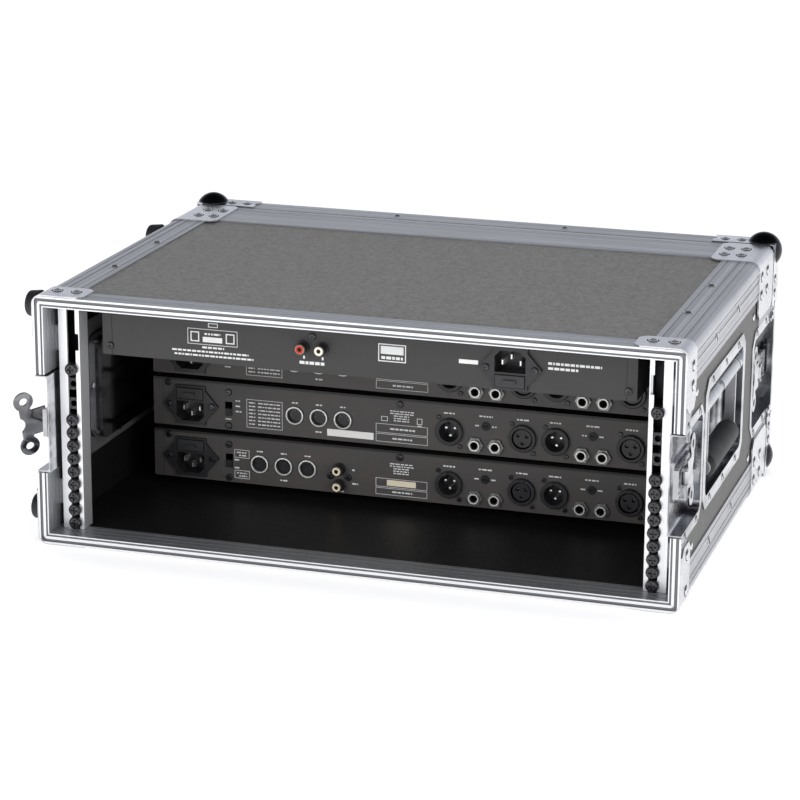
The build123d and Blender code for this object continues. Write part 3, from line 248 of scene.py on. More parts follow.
def laminate(name, inside_axis, inside_test, depth=1.0):
    """Grey textured laminate outside, darkened as painted shade when depth is below 1; black film on the
    inner face of the panel.
    """
    shader = Shader(name)
    grain = shader.noise((300, 300, 300), 6.0, 0.78)
    weave = shader.calc(
        "ADD", shader.noise((2600, 320, 2600), 2.0), shader.noise((320, 2600, 320), 2.0)
    )
    patches = shader.noise((9, 9, 9), 3.0)
    mottled = shader.calc("ADD", shader.calc("MULTIPLY", grain, 0.7), shader.calc("MULTIPLY", weave, 0.15))
    tone = shader.span(mottled, 0.36, 0.66, 0.0, 1.0)
    low, high, middle = ((0.063, 0.0615, 0.0585), (0.280, 0.273, 0.261), (0.152, 0.149, 0.144))
    grey = shader.mix(tone, shade(low, depth), shade(high, depth))
    grey = shader.mix(shader.span(patches, 0.3, 0.7, 0.0, 0.16), grey, shade(middle, depth))
    film = shader.mix(shader.noise((700, 700, 700), 3.0), (0.004, 0.004, 0.0045), (0.014, 0.0135, 0.013))
    coordinate = shader.axis(inside_axis)
    if inside_axis == "X":
        coordinate = shader.calc("ABSOLUTE", coordinate)
    sign, level = inside_test
    inside = shader.calc("LESS_THAN" if sign < 0 else "GREATER_THAN", coordinate, level * MM)
    matt = shader.span(mottled, 0.4, 0.8, 0.5, 0.66)
    shader.base(
        shader.mix(inside, grey, film),
        shader.blend(inside, matt, shader.span(grain, 0.3, 0.7, 0.34, 0.5)),
    )
    return shader.relief(mottled, 0.12, 0.5)


def aluminium(name, direction, low=(0.26, 0.265, 0.28), high=(0.60, 0.61, 0.635), hollow=False):
    """Satin anodised extrusion, drawn along one axis, or mitred round the case for "ring".

    A ring has a painted highlight on its rear face and painted shade in the grooves there. A hollow one has
    painted shade inside its channel.
    """
    shader = Shader(name)
    lines = {"X": (3, 1500, 1500), "Y": (1500, 3, 1500), "Z": (1500, 1500, 3)}
    broad = {"X": (1.2, 260, 260), "Y": (260, 1.2, 260), "Z": (260, 260, 1.2)}
    if direction == "ring":
        across = shader.calc("ABSOLUTE", shader.axis("X"))
        rise = shader.calc("ABSOLUTE", shader.calc("SUBTRACT", shader.axis("Z"), Z_MID * MM))
        excess = shader.calc("SUBTRACT", across, (HALF - HEIGHT / 2) * MM)
        upright_run = shader.calc("GREATER_THAN", excess, rise)
        fine = shader.blend(upright_run, shader.noise(lines["X"], 2.0), shader.noise(lines["Z"], 2.0))
        wide = shader.blend(upright_run, shader.noise(broad["X"], 2.0), shader.noise(broad["Z"], 2.0))
        inset = shader.calc(
            "MINIMUM",
            shader.calc("SUBTRACT", HALF * MM, across),
            shader.calc("SUBTRACT", HEIGHT / 2 * MM, rise),
        )
        grooves = shader.calc("ADD", *(shader.band(inset, *groove) for groove in FACE_GROOVES))
        groove_shade = shader.calc("MULTIPLY", grooves, shader.calc("LESS_THAN", shader.axis("Y"), 0.0))
    else:
        fine = shader.noise(lines[direction], 2.0)
        wide = shader.noise(broad[direction], 2.0)
    streaks = shader.calc("ADD", shader.calc("MULTIPLY", fine, 0.45), shader.calc("MULTIPLY", wide, 0.55))
    stain = shader.noise((14, 14, 14), 4.0, 0.6)
    tone = shader.span(streaks, 0.3, 0.7, 0.12, 0.88)
    metal = shader.mix(tone, low, high)
    metal = shader.mix(shader.span(stain, 0.42, 0.72, 0.0, 0.22), metal, shade(low, 0.95))
    if direction == "ring":
        # Painted highlight: the rear face is lightened towards white, for the light it reflects
        face_highlight = shader.calc("LESS_THAN", shader.axis("Y"), (Y_REAR + FACE_HIGHLIGHT) * MM)
        metal = shader.mix(shader.calc("MULTIPLY", face_highlight, 0.8), metal, (0.93, 0.935, 0.95))
        # Painted shade: the rear face's grooves are darkened where shade falls in them
        metal = shader.mix(groove_shade, metal, shade(low, 0.62))
    if hollow:
        # Painted shade: the rails' channel is coloured near-black for the shade inside it
        across = shader.calc("ABSOLUTE", shader.axis("X"))
        along = shader.calc("ABSOLUTE", shader.calc("SUBTRACT", shader.axis("Y"), Y_CENTRE * MM))
        in_width, in_length = shader.band(across, *CHANNEL_ACROSS), shader.band(along, *CHANNEL_ALONG)
        channel_shade = shader.calc("MULTIPLY", in_width, in_length)
        metal = shader.mix(channel_shade, metal, (0.012, 0.012, 0.013))
    shader.base(metal, shader.span(streaks, 0.3, 0.7, 0.42, 0.30), 0.72)
    return shader.relief(streaks, 0.05, 0.35)


def zinc(name, low, high, roughness, metallic=0.85):
    """Bright zinc plating: crystalline spangle, faint scratches and smears."""
    shader = Shader(name)
    spangle = shader.cells((420, 420, 420), output="Color")
    tint = shader.add("ShaderNodeSeparateColor")
    shader.join(spangle, tint.inputs[0])
    smear = shader.noise((60, 60, 60), 4.0, 0.6)
    scratch = shader.noise((2400, 90, 900), 2.0)
    grains = shader.calc("MULTIPLY", tint.outputs[0], 0.16)
    value = shader.calc("ADD", grains, shader.calc("MULTIPLY", smear, 0.84))
    polish = shader.span(value, 0.2, 0.8, roughness, roughness + 0.14)
    shader.base(
        shader.mix(value, low, high),
        shader.calc("ADD", polish, shader.span(scratch, 0.55, 0.8, 0.0, 0.08)),
        metallic,
    )
    return shader.relief(shader.calc("ADD", smear, scratch), 0.08, 0.25)


def chrome(name, colour=(0.58, 0.585, 0.605), roughness=0.06, dark_ball_reflection=False):
    """Chrome plating with ripples, smudges and dark streaks of painted reflection; with
    dark_ball_reflection, the balls beyond the corner plates are painted near-black as a dark reflection.
    """
    shader = Shader(name)
    ripple = shader.noise((45, 45, 45), 2.0)
    smudge = shader.noise((130, 130, 130), 4.0, 0.65)
    reflection_streak = shader.noise((9, 14, 55), 2.0, 0.5)
    plated = shader.mix(shader.span(smudge, 0.4, 0.8, 0.0, 0.35), colour, shade(colour, 0.72))
    # Painted reflection: dark streaks stand in for the dark studio seen in the chrome
    plated = shader.mix(shader.span(reflection_streak, 0.46, 0.66, 0.0, 0.75), plated, shade(colour, 0.30))
    # Painted reflection: the ball corners are chrome, coloured near-black for the dark studio they reflect
    if dark_ball_reflection:
        across = shader.calc("ABSOLUTE", shader.axis("X"))
        beyond = shader.calc("GREATER_THAN", across, (HALF + BALL_START) * MM)
        for source, face in ((shader.axis("Y"), Y_BACK), (shader.axis("Z"), Z_HIGH)):
            outside = shader.calc("GREATER_THAN", source, (face + BALL_START) * MM)
            beyond = shader.calc("MAXIMUM", beyond, outside)
        plated = shader.mix(beyond, plated, (0.035, 0.035, 0.04))
    shader.base(plated, shader.span(smudge, 0.35, 0.75, roughness, roughness + 0.12), 1.0)
    return shader.relief(ripple, 0.35, 0.35)


def plastic(name, colour, roughness=0.42, grain=1400, depth=0.05, variation=0.25):
    """Moulded plastic or rubber: a fine mould texture and slight unevenness."""
    shader = Shader(name)
    fine = shader.noise((grain, grain, grain), 2.0)
    wide = shader.noise((70, 70, 70), 3.0)
    tone = shader.calc("ADD", shader.calc("MULTIPLY", fine, 0.4), shader.calc("MULTIPLY", wide, 0.6))
    shader.base(
        shader.mix(tone, shade(colour, 1 - variation), shade(colour, 1 + variation)),
        shader.span(tone, 0.3, 0.7, roughness - 0.07, roughness + 0.09),
    )
    return shader.relief(fine, depth, 0.5)


def paint(name, colour, brown=0.0, shaded_fold=False):
    """Textured paint on sheet steel: an orange-peel grain with dust in it.

    With shaded_fold, a near-black band of painted shade runs along the fold at its top.
    """
    shader = Shader(name)
    peel = shader.cells((1500, 1500, 1500))
    speck = shader.noise((2600, 2600, 2600), 2.0)
    dust = shader.noise((24, 24, 60), 4.0, 0.6)
    tone = shader.calc("ADD", shader.calc("MULTIPLY", peel, 0.5), shader.calc("MULTIPLY", speck, 0.5))
    warm = (colour[0] * (1.25 + brown), colour[1] * 1.2, colour[2] * (1.12 - brown))
    painted = shader.mix(tone, shade(colour, 0.62), shade(colour, 1.3))
    painted = shader.mix(shader.span(dust, 0.45, 0.75, 0.0, 0.5), painted, warm)
    if shaded_fold:
        # Painted shade: a near-black band along each chassis's top fold, where shade falls
        above = shader.calc("SUBTRACT", shader.axis("Z"), CHASSIS_BOTTOM * MM)
        height = shader.calc("MODULO", above, UNIT * MM)
        fold = shader.span(height, FOLD_HEIGHT * MM, (FOLD_HEIGHT + 1.0) * MM, 0.0, 0.85)
        painted = shader.mix(fold, painted, (0.004, 0.004, 0.004))
    shader.base(painted, shader.span(tone, 0.2, 0.8, 0.36, 0.56))
    return shader.relief(tone, 0.09, 0.6)


def black_steel(name, colour=(0.022, 0.022, 0.024)):
    """Blackened steel with metal showing faintly through."""
    shader = Shader(name)
    worn = shader.noise((500, 500, 500), 4.0, 0.6)
    tone = shader.span(worn, 0.5, 0.78, 0.0, 1.0)
    shader.base(shader.mix(tone, colour, shade(colour, 3.2)), shader.span(worn, 0.3, 0.8, 0.12, 0.26), 0.85)
    return shader.relief(worn, 0.05, 0.4)


mitred_aluminium = aluminium("aluminium_ring", "ring")
finishes = {
    "panel_top": laminate("laminate_top", "Z", (-1, CEILING + FILM)),
    "panel_bottom": laminate("laminate_base", "Z", (1, PLY - FILM)),
    # Painted shade: the side panels are the top's laminate, darkened to 0.6 because less light falls on them
    "panel_left": laminate("laminate_sides_shaded", "X", (-1, WALL + FILM), 0.6),
    "lid_panel": laminate("laminate_lid", "Y", (-1, LID_INSIDE + FILM)),
    "edge_angles": aluminium("aluminium_along", "Y"),
    "rear_frame": mitred_aluminium,
    "front_frame": mitred_aluminium,
    "lid_frame": mitred_aluminium,
    "rack_rails": aluminium("rail_aluminium", "Z", (0.86, 0.86, 0.87), (0.97, 0.97, 0.98), True),
    "rear_corner_plates": zinc("zinc_plate", (0.38, 0.38, 0.39), (0.92, 0.92, 0.94), 0.17, 0.95),
    "handle_bail_left": zinc("zinc_bail", (0.42, 0.42, 0.43), (0.70, 0.70, 0.72), 0.24),
    "latch_dishes": chrome("chrome_dish", roughness=0.11),
    "lid_ball_corners": chrome("chrome_ball", (0.74, 0.745, 0.76), 0.08, True),
    # Painted shade: the raised rear-left wing is the same chrome as the other wings, coloured darker because
    # it lies in shade
    "latch_wing_rear_left": chrome("latch_wing_shaded", (0.31, 0.31, 0.325), 0.10),
    "latch_hook_rear_left": zinc("latch_steel", (0.30, 0.30, 0.31), (0.62, 0.62, 0.63), 0.20, 0.95),
    "rack_screws": black_steel("black_screw", (0.05, 0.05, 0.052)),
    "handle_backing_frames": zinc("backing_steel", (0.13, 0.13, 0.132), (0.27, 0.27, 0.275), 0.40, 0.5),
    "latch_wing_rear_right": chrome("chrome_wing", roughness=0.14),
    "level_trimmers": plastic("trimmer_black", (0.006, 0.006, 0.006), 0.55),
    "side_feet": plastic("rubber_foot", (0.012, 0.012, 0.013), 0.5, 900, 0.08),
    "handle_grip_left": plastic("rubber_grip", (0.013, 0.013, 0.013), 0.55, 1100, 0.12),
    "device_4_chassis": paint("device_paint_top", (0.028, 0.027, 0.0265)),
    "device_1_chassis": paint("device_paint", (0.054, 0.050, 0.047), 0.12, True),
    "device_front_panels": paint("front_paint", (0.02, 0.02, 0.021)),
    "mains_inlets": plastic("black_plastic", (0.014, 0.014, 0.015), 0.34),
    "fuse_drawer_1": plastic("drawer_plastic", (0.020, 0.020, 0.021), 0.4),
    "jack_sockets": zinc("nickel", (0.14, 0.137, 0.13), (0.34, 0.335, 0.32), 0.2, 0.6),
    "phono_sockets": zinc("gold", (0.30, 0.23, 0.12), (0.52, 0.42, 0.24), 0.24),
}
same_finish = {
    "panel_left": ["panel_right"],
    "rear_corner_plates": ["front_corner_braces", "shell_rivets", "lid_rivets"],
    "handle_bail_left": ["handle_bail_right", "handle_springs", "handle_hinge_pins"],
    "latch_dishes": ["lid_keepers", "handle_dish_left", "handle_dish_right"],
    "latch_wing_rear_right": ["latch_wing_front_left", "latch_wing_front_right"],
    "latch_hook_rear_left": [name for name in nodes if name.startswith(("latch_hook", "latch_spindle"))],
    "rack_screws": ["device_screws", "rail_nuts"],
    "handle_grip_left": ["handle_grip_right"],
    "device_1_chassis": ["device_2_chassis", "device_3_chassis"],
    "mains_inlets": ["xlr_inputs", "xlr_outputs", "slide_switch_1", "slide_switch_2"],
    "fuse_drawer_1": ["fuse_drawer_2", "fuse_drawer_3", "fuse_drawer_4"],
    "jack_sockets": ["din_sockets"],
}
for first, others in same_finish.items():
    for other in others:
        finishes[other] = finishes[first]
for name, node in nodes.items():
    node.data.materials.clear()
    node.data.materials.append(finishes[name])


# Pieces

CREASE = math.radians(38)


def piece(name, mesh_data, material, body="case", smooth=False):
    """A new piece that rides on a CAD body."""
    mesh = bpy.data.meshes.new(name)
    mesh_data.to_mesh(mesh)
    mesh_data.free()
    made = bpy.data.objects.new(name, mesh)
    scene.collection.objects.link(made)
    mesh.materials.append(material)
    if smooth:
        for polygon in mesh.polygons:
            polygon.use_smooth = True
        mesh.set_sharp_from_angle(angle=CREASE)
    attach(made, body)
    return made


def islands(name):
    """(lowest corner, highest corner) in millimetres of each separate solid in a CAD node."""
    mesh = nodes[name].data
    points = np.array([v.co for v in mesh.vertices], float) / MM
    keys, index = np.unique(np.round(points, 3), axis=0, return_inverse=True)
    index = index.ravel()
    parent = list(range(len(keys)))

    def root(i):
        while parent[i] != i:
            parent[i] = parent[parent[i]]
            i = parent[i]
        return i

    for polygon in mesh.polygons:
        corners = [root(index[v]) for v in polygon.vertices]
        for corner in corners[1:]:
            parent[root(corner)] = root(corners[0])
    groups = {}
    for i in range(len(keys)):
        groups.setdefault(root(i), []).append(i)
    found = [(keys[g].min(0), keys[g].max(0)) for g in groups.values()]
    return sorted(found, key=lambda pair: tuple(np.round(pair[0], 2)))


def turned(origin, normal):
    """A matrix that puts +Z on the normal and the origin in place, in millimetres."""
    turn = Vector(normal).to_track_quat("Z", "Y").to_matrix().to_4x4()
    return Matrix.Diagonal((MM, MM, MM, 1)) @ Matrix.Translation(origin) @ turn


def revolve(made, profile, matrix, steps=28):
    """Adds a closed turned shape: profile is (radius, height) from the axis to the axis."""
    rows = []
    for radius, height in profile:
        if radius < 1e-6:
            rows.append([made.verts.new(matrix @ Vector((0, 0, height)))])
            continue
        ring = []
        for step in range(steps):
            angle = 2 * math.pi * step / steps
            ring.append(
                made.verts.new(matrix @ Vector((radius * math.cos(angle), radius * math.sin(angle), height)))
            )
        rows.append(ring)
    for low, high in zip(rows, rows[1:]):
        for step in range(steps):
            quad = [
                low[step % len(low)],
                low[(step + 1) % len(low)],
                high[(step + 1) % len(high)],
                high[step % len(high)],
            ]
            unique = list(dict.fromkeys(quad))
            if len(unique) > 2:
                made.faces.new(unique)


def head_places(name):
    """(centre of the head's base, outward normal, radius) of each rivet head in a CAD node."""
    places = []
    for low, high in islands(name):
        size = high - low
        thin = int(np.argmin(size))
        centre = (low + high) / 2
        middle = (0, (Y_REAR + Y_BACK) / 2, Z_MID)[thin]
        sign = 1 if centre[thin] > middle else -1
        base = centre.copy()
        base[thin] = low[thin] if sign > 0 else high[thin]
        normal = [0, 0, 0]
        normal[thin] = sign
        places.append((base, normal, float(np.delete(size, thin).max() / 2)))
    return places


# Turned profiles as (radius, height). Radii are shares of the head's radius. Heights of a head are shares of
# its rise; those of the painted-shade disc in an eyelet and the painted-shadow ring round a domed head are
# in millimetres.

DOMED = [
    (0, 0.1), (0.92, 0.0), (1.0, 0.12), (0.97, 0.42), (0.82, 0.78), (0.55, 0.98), (0.34, 1.0), (0.28, 0.82),
    (0, 0.78),
]
EYELET = [
    (0, 0.1), (0.95, 0.0), (1.0, 0.22), (0.95, 0.50), (0.84, 0.58), (0.78, 0.46), (0.74, 0.12), (0, 0.1),
]
EYELET_SHADE = [(0, 0.2), (0.70, 0.2), (0.70, 0.34), (0, 0.38)]
BASE_SHADOW = [(0.9, 0.01), (1.27, 0.01), (1.27, 0.10), (1.21, 0.14), (0.9, 0.14), (0.9, 0.01)]
SMALL_RIVET, LARGE_RIVET = 2.9, 3.1


def scaled(profile, radius, rise=1.0):
    return [(r * radius, h * rise) for r, h in profile]


def rivets(node, body):
    """Turned heads in place of the plain domes: hollow eyelets on bare profiles, domed heads elsewhere. A
    matte black disc of painted shade sits in each eyelet, and a ring of painted shadow sits round each domed
    head.
    """
    domes, eyelets, eyelet_shades, base_shadows = (bmesh.new() for _ in range(4))
    for base, normal, radius in head_places(node):
        matrix = turned(base, normal)
        thin = int(np.argmax(np.abs(normal)))
        outer_face = (HALF, Y_BACK, HEIGHT / 2)[thin]
        on_profile = abs(abs(base[thin] - (0, 0, Z_MID)[thin]) - outer_face) < 0.3
        if on_profile and radius > SMALL_RIVET:
            revolve(eyelets, scaled(EYELET, radius * 0.95, 1.1), matrix)
            revolve(eyelet_shades, scaled(EYELET_SHADE, radius), matrix, 20)
        else:
            rise = 1.5 if radius > LARGE_RIVET else 1.2
            revolve(domes, scaled(DOMED, radius, rise), matrix)
            revolve(base_shadows, scaled(BASE_SHADOW, radius), matrix)
    made = piece(node + "_domed", domes, head_zinc, body, True)
    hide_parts(node)
    piece(node + "_eyelets", eyelets, head_zinc, body, True)
    piece(node + "_cores", eyelet_shades, shadow_line, body, True)
    piece(node + "_outlines", base_shadows, shadow_line, body, True)


# Painted shadow: matte black for the shade in the eyelets and the shadow round the domed heads
shadow_line = plastic("rivet_shadow", (0.006, 0.006, 0.006), 0.75)
head_zinc = zinc("rivet_zinc", (0.56, 0.56, 0.57), (0.90, 0.90, 0.91), 0.17, 0.9)
rivets("shell_rivets", "case")
rivets("lid_rivets", "lid")


# Printing on the devices' rear panels: outlines, bars and rows of short dashes, with no lettering

draw = random.Random(4)
PRINT_LIFT, PAPER_LIFT = 0.05, 0.12


def rear_panel(slot):
    """(the rear panel's place along Y, the height of the chassis's underside) of the device in a slot."""
    return (TOP_REAR if slot == TOP_SLOT else LOW_REAR), CHASSIS_BOTTOM + slot * UNIT


def slab(made, x, z, rear, thick):
    """A thin plate between two limits, standing out from a rear panel."""
    corners = [
        made.verts.new(Vector((a * MM, b * MM, c * MM)))
        for b in (rear, rear - thick)
        for a, c in ((x[0], z[0]), (x[1], z[0]), (x[1], z[1]), (x[0], z[1]))
    ]
    faces = ((0, 1, 2, 3), (7, 6, 5, 4), (0, 4, 5, 1), (1, 5, 6, 2), (2, 6, 7, 3), (3, 7, 4, 0))
    for face in faces:
        made.faces.new([corners[i] for i in face])


class Printing:
    """White ink on one device's rear panel; heights are above the chassis's underside."""

    def __init__(self, slot):
        self.rear, self.low = rear_panel(slot)
        self.ink = bmesh.new()

    def bar(self, x, z):
        slab(self.ink, x, (self.low + z[0], self.low + z[1]), self.rear, PRINT_LIFT)

    def outline(self, x, z, line=0.35):
        self.bar(x, (z[0], z[0] + line))
        self.bar(x, (z[1] - line, z[1]))
        self.bar((x[0], x[0] + line), (z[0] + line, z[1] - line))
        self.bar((x[1] - line, x[1]), (z[0] + line, z[1] - line))

    def dashes(self, x, height, tall=1.3):
        """A row of short dashes from x[0] to x[1]."""
        at = x[0]
        while at < x[1]:
            length = min(draw.uniform(1.2, 4.2), x[1] - at)
            if length > 0.5:
                self.bar((at, at + length), (height, height + tall))
            at += length + 0.8


white_ink = plastic("white_ink", (0.62, 0.62, 0.61), 0.5, 1800, 0.01, 0.12)
label_paper = plastic("label_paper", (0.72, 0.71, 0.68), 0.6, 700, 0.02, 0.10)
cream_paper = plastic("label_cream", (0.66, 0.60, 0.44), 0.6, 700, 0.02, 0.10)

# The three low devices, of which the lowest is a different model

for slot in range(TOP_SLOT):
    ink = Printing(slot)

    # Names over the XLR sockets, the trimmers and the DIN sockets, and the ends of each trimmer's range
    for x in sorted(XLR_OUTPUTS + XLR_INPUTS):
        ink.dashes((x - 5, x + 5), 31.4, 1.2)
    for x in TRIMMERS:
        ink.dashes((x - 5.5, x + 5.5), 31.4, 1.2)
        ink.dashes((x - 9, x - 5), 23.4, 1.1)
        ink.dashes((x + 5, x + 9), 23.4, 1.1)
    for x in DINS[slot]:
        ink.dashes((x - 2.6, x + 2.6), 28.0, 1.1)
    ink.dashes((DINS[slot][1] - 3, DINS[slot][1] + 3), 5.2, 1.1)

    # The two boxes and five lines of text at the middle
    ink.outline((-25, 18.6), (10.6, 18.2) if slot else (9.2, 16.6))
    ink.outline((-25, 18.6), (3.0, 9.8) if slot else (2.6, 8.4))
    ink.dashes((-11, 6), 5.6 if slot else 4.8, 1.3)
    for row in range(5):
        ink.dashes((-13, 7) if row < 2 else (-10, 3), 29.0 - 2.0 * row, 0.9)
    if slot:
        # A line of text in the upper box, two marks, the framed table and the switch's settings
        ink.dashes((-13, 8), 13.6, 1.4)
        ink.outline((-20.5, -15.0), (20.5, 24.5), 0.5)
        ink.outline((9.5, 14.0), (20.0, 25.0), 0.5)
        ink.bar((10.0, 13.5), (18.4, 19.2))
        ink.outline((-136, -105), (4, 28))
        for row in range(7):
            ink.dashes((-134, -128.5), 24.6 - 3.0 * row, 1.0)
            ink.dashes((-126, -107), 24.6 - 3.0 * row, 1.0)
        for height in (25.0, 20.5, 16.0):
            ink.dashes((-145.5, -140.5), height, 1.1)
        ink.bar((-154.5, -149.5), (9.0, 9.9))
    else:
        # Two framed notes beside the inlet with settings between them, and the phono sockets' names
        for low, high in ((21.5, 28.5), (3.8, 10.8)):
            ink.outline((-147, -134), (low, high), 0.4)
            ink.dashes((-145, -136), high - 3.0, 1.1)
            ink.dashes((-143, -136), high - 5.4, 1.1)
        for height in (19.0, 12.2):
            ink.dashes((-147, -142), height, 1.1)
        ink.dashes((-45.0, -42.0), 20.0, 1.3)
        ink.dashes((-45.0, -40.0), 8.4, 1.3)
        ink.dashes((-60.0, -52.0), 1.2, 1.1)
    piece(f"device_{slot + 1}_printing", ink.ink, white_ink)

# The top device: a framed diagram, lines of text, the phono sockets' names, a box and the inlet's text

ink = Printing(TOP_SLOT)
ink.outline((-142, -101), (14.5, 27.0), 0.4)
for x in (-136.0, -107.0):
    ink.outline((x - 3.6, x + 3.6), (16.6, 24.6), 0.9)
ink.bar((-129.5, -113.5), (16.6, 20.8))
ink.dashes((-128, -115), 22.4, 1.5)
ink.dashes((-130, -112), 11.6, 1.5)
ink.dashes((-155, -92), 8.2, 1.4)
ink.dashes((-153, -88), 5.0, 1.4)
ink.outline((-125, -117), (28.6, 32.0), 0.6)
ink.bar((-47.6, -46.2), (10.4, 12.8))
ink.bar((-32.6, -31.2), (10.4, 12.8))
ink.dashes((-50.5, -29.5), 6.2, 2.4)
ink.outline((12.5, 34.5), (13.8, 27.8), 0.8)
ink.bar((14.5, 32.5), (19.8, 26.0))
ink.dashes((15.0, 32.0), 15.8, 2.2)
ink.dashes((145, 186), 22.6, 1.9)
ink.dashes((145, 168), 18.8, 1.9)
piece("device_4_printing", ink.ink, white_ink)

stuck_labels = (
    (TOP_SLOT, (76, 91), (17.8, 21.0), label_paper),
    (1, (-66.5, -27.0), (3.6, 9.4), label_paper),
    (0, (-15.5, 9.0), (10.6, 15.4), cream_paper),
)
for number, (slot, x, z, material) in enumerate(stuck_labels, 1):
    rear, low = rear_panel(slot)
    paper = bmesh.new()
    slab(paper, x, (low + z[0], low + z[1]), rear, PAPER_LIFT)
    piece(f"label_{number}", paper, material)


# Connector details


def along_rear(slot, x, height):
    """The matrix of a connector on a rear panel, facing out of the case."""
    rear, low = rear_panel(slot)
    return turned((x, rear, low + height), (0, -1, 0))


def round_circle(matrix, radius, turns):
    """A connector's matrix moved to each turn, in degrees, on a circle across its face."""
    for turn in turns:
        angle = math.radians(turn)
        move = Matrix.Translation((radius * math.cos(angle) * MM, 0, radius * math.sin(angle) * MM))
        yield move @ matrix


def flat_ring(inner, outer, low, high):
    """The closed profile of a plain ring."""
    return [(inner, low), (outer, low), (outer, high), (inner, high), (inner, low)]


XLR_PIN = [(0, -11.4), (1.28, -11.4), (1.28, -2.9), (1.0, -2.2), (0, -1.95)]
XLR_CONTACT = [(0, -2.6), (1.3, -2.6), (1.3, 0.2), (0.9, 0.5), (0, 0.6)]
JACK_LINER = [(2.6, -10.0), (3.15, -10.0), (3.15, 4.3), (2.9, 4.5), (2.6, 4.3), (2.6, -10.0)]
JACK_COLLAR = [(3.2, 3.9), (4.6, 3.9), (4.6, 4.3), (4.3, 4.8), (3.5, 4.8), (3.2, 4.5), (3.2, 3.9)]
DIN_COLLAR = [(6.45, 1.5), (7.5, 1.5), (7.5, 1.72), (7.2, 1.9), (6.7, 1.9), (6.45, 1.7), (6.45, 1.5)]
DIN_FACE = [(0, -2.0), (6.1, -2.0), (6.1, -0.4), (5.6, -0.4), (5.6, -1.5), (0, -1.5)]
DIN_CONTACT = [(0, -1.6), (0.8, -1.6), (0.8, -1.3), (0, -1.25)]

pins, contacts, liners, collars, din_faces, rings = (bmesh.new() for _ in range(6))
for slot in range(TOP_SLOT):
    for x in XLR_OUTPUTS:
        place = along_rear(slot, x, XLR_HEIGHT)
        for at in round_circle(place, XLR_PIN_CIRCLE, (30, 150, 270)):
            revolve(pins, XLR_PIN, at, 16)
        revolve(rings, flat_ring(9.0, 9.9, 3.0, 3.25), place, 40)
    for x in XLR_INPUTS:
        place = along_rear(slot, x, XLR_HEIGHT)
        revolve(rings, flat_ring(9.2, 10.1, 3.0, 3.25), place, 40)
        for at in round_circle(place, XLR_CONTACT_CIRCLE, (-90, 30, 150)):
            revolve(contacts, XLR_CONTACT, at, 16)
    for x in JACKS:
        place = along_rear(slot, x, JACK_HEIGHT)
        revolve(liners, JACK_LINER, place, 24)
        revolve(collars, JACK_COLLAR, place, 32)
    for x in DINS[slot]:
        place = along_rear(slot, x, DIN_HEIGHT)
        revolve(collars, DIN_COLLAR, place, 40)
        revolve(din_faces, DIN_FACE, place, 36)
        for at in round_circle(place, DIN_CIRCLE, (0, 45, 90, 135, 180)):
            revolve(contacts, DIN_CONTACT, at, 12)


# A mains blade as (depth in the socket, half its width, half its height), and the three blades' places as
# (distance across, distance up) from the socket's middle

BLADE = ((13.9, 1.05, 2.35), (3.2, 1.05, 2.35), (1.9, 0.55, 1.7))
BLADE_PLACES = ((-7, 1.6), (7, 1.6), (0, -3.0))


def blade(x, z, rear):
    """A mains blade with a bevelled tip, in its socket."""
    rows = []
    for y, wide, tall in BLADE:
        rows.append(
            [
                pins.verts.new(Vector((x + a * wide, rear + y, z + b * tall)) * MM)
                for a, b in ((-1, -1), (1, -1), (1, 1), (-1, 1))
            ]
        )
    pins.faces.new(rows[0][::-1])
    pins.faces.new(rows[-1])
    for low, high in zip(rows, rows[1:]):
        for i in range(4):
            pins.faces.new((low[i], low[(i + 1) % 4], high[(i + 1) % 4], high[i]))


# The inlet on the top device is the other way up

for slot in range(TOP_SLOT + 1):
    rear, low = rear_panel(slot)
    x, height, flip = (116.3, 17.4, -1) if slot == TOP_SLOT else (-184.7, 19.0, 1)
    z = low + height - flip * SOCKET_DROP
    for side, lift in BLADE_PLACES:
        blade(x + side, z + flip * lift, rear)
satin_pin = zinc("contact_metal", (0.75, 0.74, 0.70), (0.92, 0.91, 0.86), 0.14)
dull_contact = black_steel("dull_contact", (0.05, 0.05, 0.05))
piece("connector_pins", pins, satin_pin, smooth=True)
piece("xlr_contacts", contacts, dull_contact, smooth=True)
bright_collar = zinc("collar_metal", (0.62, 0.61, 0.57), (0.86, 0.85, 0.81), 0.2, 0.4)
piece("bright_collars", collars, bright_collar, smooth=True)
piece("jack_liners", liners, finishes["mains_inlets"], smooth=True)
piece("din_faces", din_faces, finishes["mains_inlets"], smooth=True)
piece("xlr_rings", rings, finishes["fuse_drawer_1"], smooth=True)

PHONO_BASE = [(3.95, 0.05), (5.3, 0.05), (5.3, 1.6), (5.1, 1.78), (3.95, 1.78), (3.95, 0.05)]
PHONO_SLEEVE = [(3.93, 1.8), (4.3, 1.8), (4.3, 7.6), (3.93, 7.7), (3.93, 1.8)]

bases = bmesh.new()
phono_colours = (
    ("white", (0.72, 0.71, 0.68), ((TOP_SLOT, -32.4, 19.5),)),
    ("red", (0.42, 0.02, 0.02), ((TOP_SLOT, -47.7, 19.5),)),
    ("cream", (0.66, 0.60, 0.46), ((0, -56.0, 20.6), (0, -56.0, 7.0))),
)
for name, colour, places in phono_colours:
    inserts = bmesh.new()
    for slot, x, height in places:
        place = along_rear(slot, x, height)
        revolve(inserts, flat_ring(1.75, 3.3, 8.2, 8.6), place)
        revolve(bases, PHONO_BASE, place)
        revolve(bases, PHONO_SLEEVE, place)
    glossy = plastic(f"phono_{name}", colour, 0.35)
    piece(f"phono_{name}", inserts, glossy, smooth=True)
piece("phono_bases", bases, finishes["mains_inlets"], smooth=True)

# Screws through the handles' backing frames, seen inside the case

